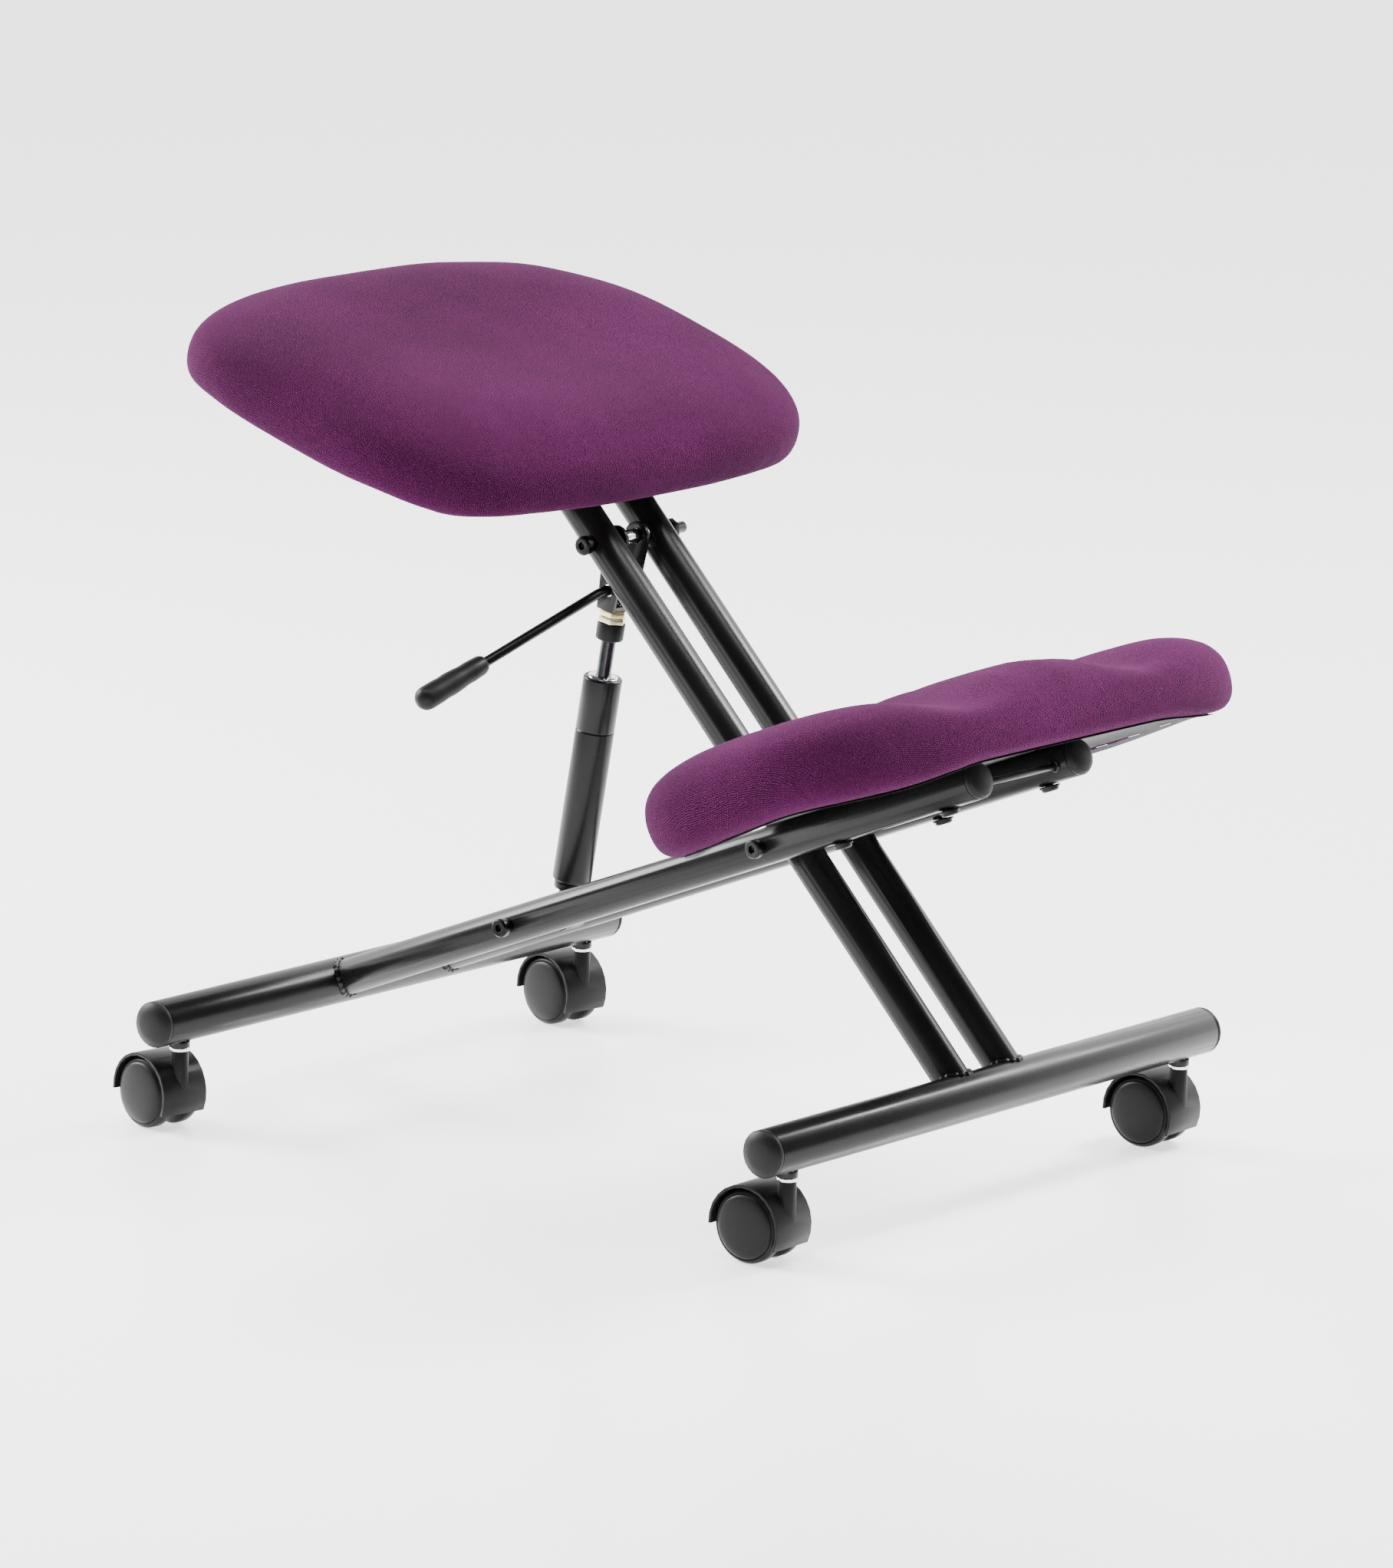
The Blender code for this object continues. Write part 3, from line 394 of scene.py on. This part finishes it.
FINISHES = {
    "frame_paint": powder_coat(),
    "black_plastic": moulded_plastic("cap_plastic", 0.46, (0.006, 0.006, 0.0063), 1400),
    "castor_plastic": moulded_plastic("castor_plastic", 0.42, (0.005, 0.005, 0.0053), 1100),
    "black_fasteners": plated("black_oxide", ((0.3, (0.012, 0.012, 0.013)),
                                              (0.7, (0.030, 0.030, 0.031))), 0.28, 0.42),
    "bright_steel": plated("bright_steel", ((0.3, (0.78, 0.78, 0.80)),
                                            (0.7, (0.88, 0.88, 0.90))), 0.08, 0.20),
    "yellow_zinc": plated("yellow_zinc", ((0.3, (0.75, 0.62, 0.30)), (0.5, (0.82, 0.72, 0.42)),
                                          (0.7, (0.70, 0.66, 0.50))), 0.22, 0.38),
    "rod_steel": plated("rod_steel", ((0.3, (0.09, 0.095, 0.10)),
                                      (0.7, (0.13, 0.135, 0.14))), 0.18, 0.30),
    "plywood": plywood(),
    # The dark and light stops give random tone. They also give the painted shade in the knit's crevices and the
    # lighter loop tops.
    "purple_fabric": woven("plum_weave", dark=(0.006, 0.0008, 0.0045),
                           middle=(0.050, 0.0045, 0.036), light=(0.190, 0.026, 0.150),
                           pitch=0.00155),
}
FELT = felt()


def dress_nodes():
    """Gives each carried-over CAD node the finish of its material slot."""
    for subpart in frame["record"]["subparts"]:
        node = frame["nodes"][subpart["node"]]
        material = FINISHES[subpart["material_slot"]]
        if not node.material_slots:
            node.data.materials.append(material)
        for slot in node.material_slots:
            slot.material = material


# ---------------------------------------------------------------- pads

class Pad:
    """One pad's plan, rim and relief, in its own frame on the middle of its underside."""

    def __init__(self, node, body, pitch, corner, recess, relief, rim, grow=0.0, notch=False):
        self.node = node
        self.body = body
        self.place, half_x, half_y, self.height = pad_frame(node, pitch)
        self.half_x = half_x + grow
        self.half_y = half_y + grow
        self.corner = corner
        self.recess = recess
        self.relief = relief
        self.rim = rim
        self.notch = notch

    def outline(self, inset, scale=1.0, count=96):
        """The plan at an inset; scale below 1 shrinks it into a rounder ring."""
        corner = self.corner + (2 - self.corner) * (1 - scale)
        points = []
        for x, y in superellipse((self.half_x - inset) * scale, (self.half_y - inset) * scale,
                                 corner, count):
            if self.notch:
                side = 1 - smooth_step(abs(y), NOTCH_HALF_Y, NOTCH_HALF_Y + NOTCH_BLEND)
                x += side * max(0.0, NOTCH_FRONT + inset - x)
            points.append((x, y))
        return points

    def outward(self, x, y):
        """The plan's outward direction at a point, and how far out it is (1 on the outline)."""
        across = abs(x / self.half_x)
        along = abs(y / self.half_y)
        way = Vector((math.copysign(across ** (self.corner - 1) / self.half_x, x),
                      math.copysign(along ** (self.corner - 1) / self.half_y, y)))
        reach = (across ** self.corner + along ** self.corner) ** (1 / self.corner)
        return way.normalized(), max(reach, 0.01)


def pad_cage(pad):
    """The stuffed shape before it swells: board recess, rounded edge and shaped top.

    A level is its points, its height, and its shares of the top's relief and the rim's drop.
    """
    levels = []
    for scale in (0.3, 0.65):
        levels.append((pad.outline(BOARD_INSET + 0.002, scale), pad.recess, 0.0, 0.0))
    levels.append((pad.outline(BOARD_INSET + 0.002), pad.recess, 0.0, 0.0))
    levels.append((pad.outline(BOARD_INSET + 0.0005), 0.001, 0.0, 0.5))
    levels.append((pad.outline(BOARD_INSET - 0.004), 0.0006, 0.0, 1.0))
    for part, inset in PAD_EDGE:
        levels.append((pad.outline(inset), max(pad.height * part, 0.0006), part, 1 - part))
    for scale in (0.8, 0.6, 0.4, 0.2):
        levels.append((pad.outline(PAD_EDGE[-1][1], scale), pad.height, 1.0, 0.0))
    bm = bmesh.new()
    rings = []
    for points, z, top, rim in levels:
        ring = []
        for x, y in points:
            lift = pad.relief(x, y) * smooth_step(top, 0.45, 1.0) + pad.rim(x, y) * rim
            ring.append(bm.verts.new((x, y, z + lift)))
        rings.append(ring)
    bridge(bm, rings)
    return bm


def bake_modifiers(piece):
    """Replaces a piece's mesh by what its modifiers make of it."""
    shown = piece.evaluated_get(bpy.context.evaluated_depsgraph_get())
    mesh = bpy.data.meshes.new_from_object(shown)
    piece.modifiers.clear()
    piece.data = mesh


def points_of(mesh):
    """A mesh's vertices as rows of x, y and z."""
    flat = np.empty(len(mesh.vertices) * 3)
    mesh.vertices.foreach_get("co", flat)
    return flat.reshape(-1, 3)


def spread_out(values, mesh, rounds):
    """Averages each vertex's value with its neighbours', a number of times."""
    ends = np.empty(len(mesh.edges) * 2, dtype=np.int64)
    mesh.edges.foreach_get("vertices", ends)
    first, second = ends.reshape(-1, 2).T
    count = np.bincount(ends, minlength=len(values))[:, None]
    for _ in range(rounds):
        total = np.zeros_like(values)
        np.add.at(total, first, values[second])
        np.add.at(total, second, values[first])
        values = 0.4 * values + 0.6 * total / count
    return values


def add_cloth(piece):
    """Cloth under pressure without gravity, pinned where the group "held" is."""
    cloth = piece.modifiers.new("cloth", "CLOTH")
    settings = cloth.settings
    settings.quality = 5
    settings.mass = 0.3
    settings.tension_stiffness = 25
    settings.compression_stiffness = 25
    settings.bending_stiffness = 6
    settings.use_pressure = True
    settings.uniform_pressure_force = 4
    settings.vertex_group_mass = "held"
    settings.effector_weights.gravity = 0
    cloth.point_cache.frame_end = SIM_FRAMES


def stuff(piece):
    """Swells a pad as cloth under pressure, held along its underside."""
    remesh = piece.modifiers.new("remesh", "REMESH")
    remesh.mode = "VOXEL"
    remesh.voxel_size = VOXEL
    bake_modifiers(piece)
    start = points_of(piece.data)
    shape = spread_out(start, piece.data, 2)
    held = piece.vertex_groups.new(name="held")
    held.add([int(i) for i in np.nonzero(start[:, 2] < PINNED_BELOW)[0]], 1.0, "ADD")
    add_cloth(piece)
    for number in range(1, SIM_FRAMES + 1):
        bpy.context.scene.frame_set(number)
    bake_modifiers(piece)
    bpy.context.scene.frame_set(1)
    swell = points_of(piece.data) - start
    length = np.linalg.norm(swell, axis=1, keepdims=True)
    swell *= np.minimum(1.0, SWELL_CAP / np.maximum(length, 1e-9))
    shape += spread_out(swell, piece.data, SWELL_ROUNDS)
    piece.data.vertices.foreach_set("co", shape.ravel())
    fine = piece.modifiers.new("fine", "SUBSURF")
    fine.levels = 1
    fine.render_levels = 1
    bake_modifiers(piece)
    piece.data.shade_smooth()


def lay_weave(piece, pad):
    """Stores where each point lies on the flat cloth before it is pulled over the edge."""
    laid = []
    for vertex in piece.data.vertices:
        x, y, z = vertex.co
        way, reach = pad.outward(x, y)
        drop = smooth_step(reach, 0.72, 0.95) * (pad.height - z)
        inset = Vector((x, y)).dot(way) * (1 / reach - 1)
        tuck = 2 * max(0.0, inset) * (1 - smooth_step(z, 0.3 * pad.height, 0.5 * pad.height))
        laid.extend((x + way.x * (drop + tuck), y + way.y * (drop + tuck), 0.0))
    weave = piece.data.attributes.new("weave", "FLOAT_VECTOR", "POINT")
    weave.data.foreach_set("vector", laid)


def make_cushion(name, pad):
    cushion = new_piece(name, pad_cage(pad), pad.place, FINISHES["purple_fabric"])
    stuff(cushion)
    lay_weave(cushion, pad)
    cushion.data.materials.clear()
    cushion.data.materials.append(FINISHES["purple_fabric"])
    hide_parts(pad.node)
    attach(cushion, pad.body)


def seat_relief(x, y):
    """A crown that falls to the corners, with a shallow dish for the sitter."""
    corner = min(1.0, (x / 0.150) ** 2 * (y / 0.212) ** 2)
    dish = math.exp(-(x / 0.095) ** 2 - (y / 0.13) ** 2)
    return 0.0035 - 0.0100 * corner - 0.0030 * dish


def seat_rim(x, y):
    """The rim is pulled up under the front edge and hangs a little lower at the corners."""
    corner = smooth_step(abs(x), 0.07, 0.13) * smooth_step(abs(y), 0.10, 0.19)
    return 0.0010 + 0.0016 * smooth_step(x, 0.03, 0.11) - 0.0055 * corner


def knee_relief(x, y):
    """Two hollows for the shins, open to the front, between a low ridge and two bolsters."""
    forward = smooth_step(x, -0.12, 0.06)
    hollow = math.exp(-((abs(y) - 0.092) / 0.040) ** 2)
    ridge = 0.0030 * (1 - smooth_step(abs(y), 0.0, 0.06))
    return ridge - 0.0010 - (0.0050 + 0.0090 * forward) * hollow


def knee_rim(x, y):
    """The rim hangs below the board in front and lower still at the ends, most at the right."""
    droop = 0.0105 if y < 0 else 0.0070
    outside = smooth_step(abs(y), 0.09, 0.17) * (1 - 0.5 * smooth_step(x, -0.05, 0.06))
    return -0.0042 * smooth_step(x, 0.03, 0.10) - droop * outside


# ---------------------------------------------------------------- undersides

def lap(inset):
    """How far cloth at an inset follows the rim: fully at the edge, not at all over the board."""
    return smooth_step(COVER_FLAT - inset, 0.0, LAP_WIDTH)


def make_dust_cover(name, pad, level, rim_drop):
    """Thin cloth, level under the board and lapped over the wrapped fabric at its edge."""
    stations = [(inset, 1.0, -rim_drop) for inset in (COVER_INSET, 0.020, 0.024)]
    stations += [(COVER_FLAT, scale, level) for scale in (1.0, 0.7, 0.4, 0.15)]
    bm = bmesh.new()
    under, over = [], []
    for inset, scale, z in stations:
        lower, upper = [], []
        for x, y in pad.outline(inset, scale):
            low = z + pad.rim(x, y) * lap(inset)
            lower.append(bm.verts.new((x, y, low)))
            upper.append(bm.verts.new((x, y, low + COVER_THICK)))
        under.append(lower)
        over.append(upper)
    bridge(bm, under[::-1] + over)
    cover = new_piece(name, bm, pad.place, FELT)
    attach(cover, pad.body)
    area_of(pad.outline(COVER_INSET))


def sweep(bm, points, radii, ways, closed=False, sides=8):
    """Adds a round wire through points, square to ways; closed on itself or with flat ends."""
    count = len(points)
    rings = []
    for index, point in enumerate(points):
        before = points[(index - 1) % count] if closed or index else point
        after = points[(index + 1) % count] if closed or index < count - 1 else point
        tangent = (after - before).normalized()
        first = tangent.cross(ways[index]).normalized()
        second = first.cross(tangent)
        ring = []
        for step in range(sides):
            angle = 2 * math.pi * step / sides
            reach = first * math.cos(angle) + second * math.sin(angle)
            ring.append(bm.verts.new(point + reach * radii[index]))
        rings.append(ring)
    bridge(bm, rings, closed)


def nowhere(x, y):
    return False


def over_kneeler_tube(x, y):
    return abs(abs(y) - KNEELER_TUBE_Y) < TUBE_CLEARANCE


def make_staples(name, pad, drop, left_out):
    """Staples along the cover's lapped edge, except where left_out(x, y) says so."""
    spots = pad.outline(STAPLE_INSET, 1.0, 720)
    rng = random.Random(STAPLE_SEED)
    bm = bmesh.new()
    gone = 0.0
    for (x, y), (next_x, next_y) in zip(spots, spots[1:] + spots[:1]):
        step = math.hypot(next_x - x, next_y - y)
        gone += step
        if gone < STAPLE_PITCH:
            continue
        gone = rng.uniform(-0.003, 0.003)
        if left_out(x, y):
            continue
        turn = math.atan2(next_y - y, next_x - x) + rng.uniform(-0.25, 0.25)
        way = Vector((math.cos(turn), math.sin(turn), 0)) * STAPLE_HALF
        low = Vector((x, y, pad.rim(x, y) * lap(STAPLE_INSET) - drop))
        leg = Vector((0, 0, STAPLE_LEG))
        sweep(bm, [low - way + leg, low - way, low + way, low + way + leg],
              [STAPLE_WIRE] * 4, [Vector((-way.y, way.x, 0))] * 4, sides=6)
    staples = new_piece(name, bm, pad.place, FINISHES["bright_steel"])
    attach(staples, pad.body)


# ---------------------------------------------------------------- weld beads

def bar_line(bar):
    """A crossbar's axis, as a point at y = 0, and its radius; its sockets hang below it."""
    low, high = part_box(bar)
    radius = (high.x - low.x) / 2
    return Vector(((low.x + high.x) / 2, 0, high.z - radius)), radius


def tube_line(node, bar):
    """A tube's start on its bar's axis, its direction to the pivot, and its radius."""
    low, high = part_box(node)
    centre, _ = bar_line(bar)
    pivot = Vector(JOINTS["seat_fold"]["pos_m"])
    way = Vector((pivot.x - centre.x, 0, pivot.z - centre.z)).normalized()
    start = Vector((centre.x, (low.y + high.y) / 2, centre.z))
    return start, way, (high.y - low.y) / 2


def bead_radii(count, size):
    """A bead's size round its seam: even ripples, a little uneven in height."""
    radii = []
    for step in range(count):
        turn = 2 * math.pi * step / count
        ripple = 0.16 * math.sin(19 * turn) + 0.08 * math.sin(5 * turn + 1.3)
        radii.append(size * (1 + ripple))
    return radii


def make_weld(name, start, way, radius, reach, body):
    """A bead round a tube where reach gives how far along it the other surface lies."""
    count = 120
    side = way.cross(ACROSS)
    points, ways = [], []
    for step in range(count):
        turn = 2 * math.pi * step / count
        out = ACROSS * math.cos(turn) + side * math.sin(turn)
        base = start + out * radius
        points.append(base + way * reach(base))
        ways.append(out)
    bm = bmesh.new()
    sweep(bm, points, bead_radii(count, WELD_SIZE), ways, closed=True)
    bead = new_piece(name, bm, Matrix(), FINISHES["frame_paint"])
    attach(bead, body)


def reach_to_bar(centre, radius, way):
    """For make_weld: how far along way the surface of a bar across the chair lies."""
    def reach(base):
        gap = Vector((base.x - centre.x, 0, base.z - centre.z))
        half = gap.dot(way)
        return -half + math.sqrt(max(half * half - gap.length_squared + radius * radius, 0.0))
    return reach


def reach_to_plane(point, normal, way):
    """For make_weld: how far along way a plane lies."""
    def reach(base):
        return (point - base).dot(normal) / way.dot(normal)
    return reach


def make_bar_welds(bar, tubes, body):
    centre, bar_radius = bar_line(bar)
    for tube in tubes:
        start, way, radius = tube_line(tube, bar)
        reach = reach_to_bar(centre, bar_radius, way)
        make_weld(f"weld_{tube}", start, way, radius, reach, body)


def make_plate_welds(pad):
    """Beads where the seat tubes end under the seat plate."""
    normal = pad.place.to_3x3() @ UP
    for tube in ("seat_tube_right", "seat_tube_left"):
        start, way, radius = tube_line(tube, "front_crossbar")
        top = max(normal.dot(vertex.co) for vertex in frame["nodes"][tube].data.vertices)
        reach = reach_to_plane(normal * top, normal, way)
        make_weld(f"weld_plate_{tube}", start, way, radius, reach, "seat_frame")


def make_rod_welds():
    """Small beads at the ends of the rod between the kneeler tubes."""
    count = 36
    low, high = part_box("kneeler_cross_rod")
    middle = (low + high) / 2
    radius = (high.z - low.z) / 2 + 0.0004
    for side, y in (("right", low.y), ("left", high.y)):
        centre = Vector((middle.x, 0, middle.z))
        inward = ACROSS * (y - math.copysign(0.0005, y))
        points, ways = [], []
        for step in range(count):
            turn = 2 * math.pi * step / count
            out = Vector((math.cos(turn), 0, math.sin(turn)))
            points.append(centre + out * radius + inward)
            ways.append(out)
        bm = bmesh.new()
        sweep(bm, points, bead_radii(count, ROD_WELD_SIZE), ways, closed=True)
        bead = new_piece(f"weld_cross_rod_{side}", bm, Matrix(), FINISHES["frame_paint"])
        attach(bead, "kneeler_frame")


# ---------------------------------------------------------------- hard pieces

def soften_edges(piece, width):
    """Rounds the crisp edges a little, so that they catch the light."""
    bevel = piece.modifiers.new("edges", "BEVEL")
    bevel.width = width
    bevel.segments = 2
    bevel.limit_method = "ANGLE"
    bevel.angle_limit = SHARP
    bake_modifiers(piece)


def fine_copy(node, body, slot):
    """A smoother copy of a CAD node: flat faces joined, round faces shaded round."""
    bm = bmesh.new()
    bm.from_mesh(frame["nodes"][node].data)
    bmesh.ops.remove_doubles(bm, verts=bm.verts, dist=0.00001)
    bmesh.ops.dissolve_limit(bm, angle_limit=math.radians(1), verts=bm.verts, edges=bm.edges)
    piece = new_piece(f"fine_{node}", bm, Matrix(), FINISHES[slot], SHARP_DEGREES)
    soften_edges(piece, PLASTIC_ROUND if slot.endswith("_plastic") else EDGE_ROUND)
    piece.data.materials.clear()
    piece.data.materials.append(FINISHES[slot])
    piece.data.shade_smooth()
    piece.data.set_sharp_from_angle(angle=SHARP)
    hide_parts(node)
    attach(piece, body)


def refine_nodes(done):
    """Fine copies of the nodes that nothing else has replaced."""
    bodies = {}
    for body, nodes in frame["record"]["behaviour"]["bodies"].items():
        bodies.update((node, body) for node in nodes)
    for subpart in frame["record"]["subparts"]:
        node = subpart["node"]
        if node not in done and node not in NOT_REFINED:
            fine_copy(node, bodies[node], subpart["material_slot"])


# ---------------------------------------------------------------- castor wheels

def wheel_profile(radius, inner, outer):
    """A wheel's half section: bore, rounded tread, groove inside the rim and domed face."""
    face = radius - 0.0036
    rise = 0.0026
    profile = [(0.0036, inner), (radius - TREAD_ROUND, inner), (radius, inner + TREAD_ROUND),
               (radius, outer - 0.0062), (radius - 0.0006, outer - 0.0046),
               (radius - 0.0018, outer - 0.0034), (radius - 0.0024, outer - 0.0031),
               (radius - 0.0030, outer - 0.0034), (face, outer - rise)]
    for step in range(1, 9):
        part = step / 8
        profile.append((face * math.cos(0.5 * math.pi * part * 0.96),
                        outer - rise + rise * math.sin(0.5 * math.pi * part)))
    return profile


def make_wheel(corner, side, sign):
    """One turned disc on its own joint, its face turned away from the castor's middle."""
    node = f"castor_wheel_{corner}_{side}"
    joint = JOINTS[f"roll_{corner}_{side}"]
    low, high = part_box(node)
    place = place_at(joint["pos_m"], Vector(joint["axis"]) * sign, UP)
    inside = place.inverted()
    heights = [(inside @ vertex.co).z for vertex in frame["nodes"][node].data.vertices]
    profile = wheel_profile((high.z - low.z) / 2, min(heights), max(heights))
    wheel = new_piece(f"wheel_{corner}_{side}", revolve(profile, WHEEL_SIDES), place,
                      FINISHES["castor_plastic"], 50)
    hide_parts(node)
    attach(wheel, f"wheel_{corner}_{side}")
    return node


def make_wheels():
    return [make_wheel(corner, side, sign) for corner in CORNERS for side, sign in SIDES]


# ---------------------------------------------------------------- studio

def make_camera():
    right = Vector((math.cos(CAMERA_AZIMUTH), math.sin(CAMERA_AZIMUTH), 0))
    back = Vector((math.sin(CAMERA_AZIMUTH) * math.cos(CAMERA_ELEVATION),
                   -math.cos(CAMERA_AZIMUTH) * math.cos(CAMERA_ELEVATION),
                   math.sin(CAMERA_ELEVATION)))
    up = back.cross(right)
    turned_right = right * math.cos(CAMERA_ROLL) + up * math.sin(CAMERA_ROLL)
    turned_up = up * math.cos(CAMERA_ROLL) - right * math.sin(CAMERA_ROLL)
    data = bpy.data.cameras.new("camera")
    data.lens = LENS
    data.sensor_width = SENSOR
    data.clip_end = 50
    camera = bpy.data.objects.new("camera", data)
    bpy.context.scene.collection.objects.link(camera)
    rotation = Matrix((turned_right, turned_up, back)).transposed().to_4x4()
    camera.matrix_world = Matrix.Translation(CAMERA_TARGET + back * CAMERA_DISTANCE) @ rotation
    bpy.context.scene.camera = camera


def make_light(name, location, target, size, power, spread=180):
    """A rectangular lamp at location that faces target; size in metres, power in watts."""
    data = bpy.data.lights.new(name, "AREA")
    data.spread = math.radians(spread)
    data.shape = "RECTANGLE"
    data.size, data.size_y = size
    data.energy = power
    lamp = bpy.data.objects.new(name, data)
    bpy.context.scene.collection.objects.link(lamp)
    way = Vector(location) - Vector(target)
    lamp.matrix_world = place_at(Vector(location), way, UP)


def make_world():
    """A white sweep behind the chair and soft light above it; dimmer behind the camera."""
    world = bpy.data.worlds.new("studio")
    world.use_nodes = True
    tree = world.node_tree
    way = tree.nodes.new("ShaderNodeTexCoord").outputs["Generated"]
    toward = tree.nodes.new("ShaderNodeVectorMath")
    toward.operation = "DOT_PRODUCT"
    toward.inputs[1].default_value = (-math.sin(CAMERA_AZIMUTH), math.cos(CAMERA_AZIMUTH), 0.15)
    tree.links.new(way, toward.inputs[0])
    level = tree.nodes.new("ShaderNodeMapRange")
    level.interpolation_type = "SMOOTHSTEP"
    for socket, value in (("From Min", -0.25), ("From Max", 0.6), ("To Min", WORLD_DIM),
                          ("To Max", WORLD_BRIGHT)):
        level.inputs[socket].default_value = value
    tree.links.new(toward.outputs["Value"], level.inputs["Value"])
    background = tree.nodes["Background"]
    background.inputs["Color"].default_value = (1, 1, 1, 1)
    tree.links.new(level.outputs["Result"], background.inputs["Strength"])
    bpy.context.scene.world = world


def make_studio():
    make_world()
    bpy.ops.mesh.primitive_plane_add(size=60, location=(0, 0, 0))
    floor = bpy.context.object
    floor.name = "floor"
    floor.data.materials.append(studio_floor())
    make_light("strip_high", (0.4, -0.5, 2.6), (0, 0, 0.3), size=(0.30, 2.6), power=52)
    make_light("key_left", (-3.0, -0.9, 1.8), (0, 0, 0.3), size=(1.6, 1.6), power=250)
    make_light("back_rim", (0.6, 2.6, 2.2), (0, 0, 0.3), size=(1.6, 0.5), power=60)
    make_light("knee_fill", (0.5, 0.9, 1.3), (0.24, 0.08, 0.3), size=(0.4, 0.4), power=3,
               spread=50)


def kneeler_pitch():
    """The kneeler frame's slope, from the strut's lower bolt up to the pivot."""
    pivot = JOINTS["seat_fold"]["pos_m"]
    bolt = JOINTS["strut_tilt"]["pos_m"]
    return -math.atan2(pivot[2] - bolt[2], pivot[0] - bolt[0])


make_camera()
make_studio()
dress_nodes()
SEAT = Pad("seat_pad", "seat_frame", SEAT_PITCH, SEAT_CORNER, recess=0.008,
           relief=seat_relief, rim=seat_rim, grow=0.0025)
KNEE = Pad("knee_pad", "kneeler_frame", kneeler_pitch(), KNEE_CORNER, recess=0.006,
           relief=knee_relief, rim=knee_rim, grow=0.0010, notch=True)
make_cushion("seat_cushion", SEAT)
make_cushion("knee_cushion", KNEE)
make_dust_cover("seat_dust_cover", SEAT, level=0.00285, rim_drop=0.0003)
make_dust_cover("knee_dust_cover", KNEE, level=-0.0001, rim_drop=0.0002)
make_staples("seat_staples", SEAT, drop=0.0006, left_out=nowhere)
make_staples("knee_staples", KNEE, drop=0.0005, left_out=over_kneeler_tube)
make_bar_welds("rear_crossbar", ("kneeler_tube_right", "kneeler_tube_left"), "kneeler_frame")
make_bar_welds("front_crossbar", ("seat_tube_right", "seat_tube_left"), "seat_frame")
make_plate_welds(SEAT)
make_rod_welds()
refine_nodes(make_wheels())
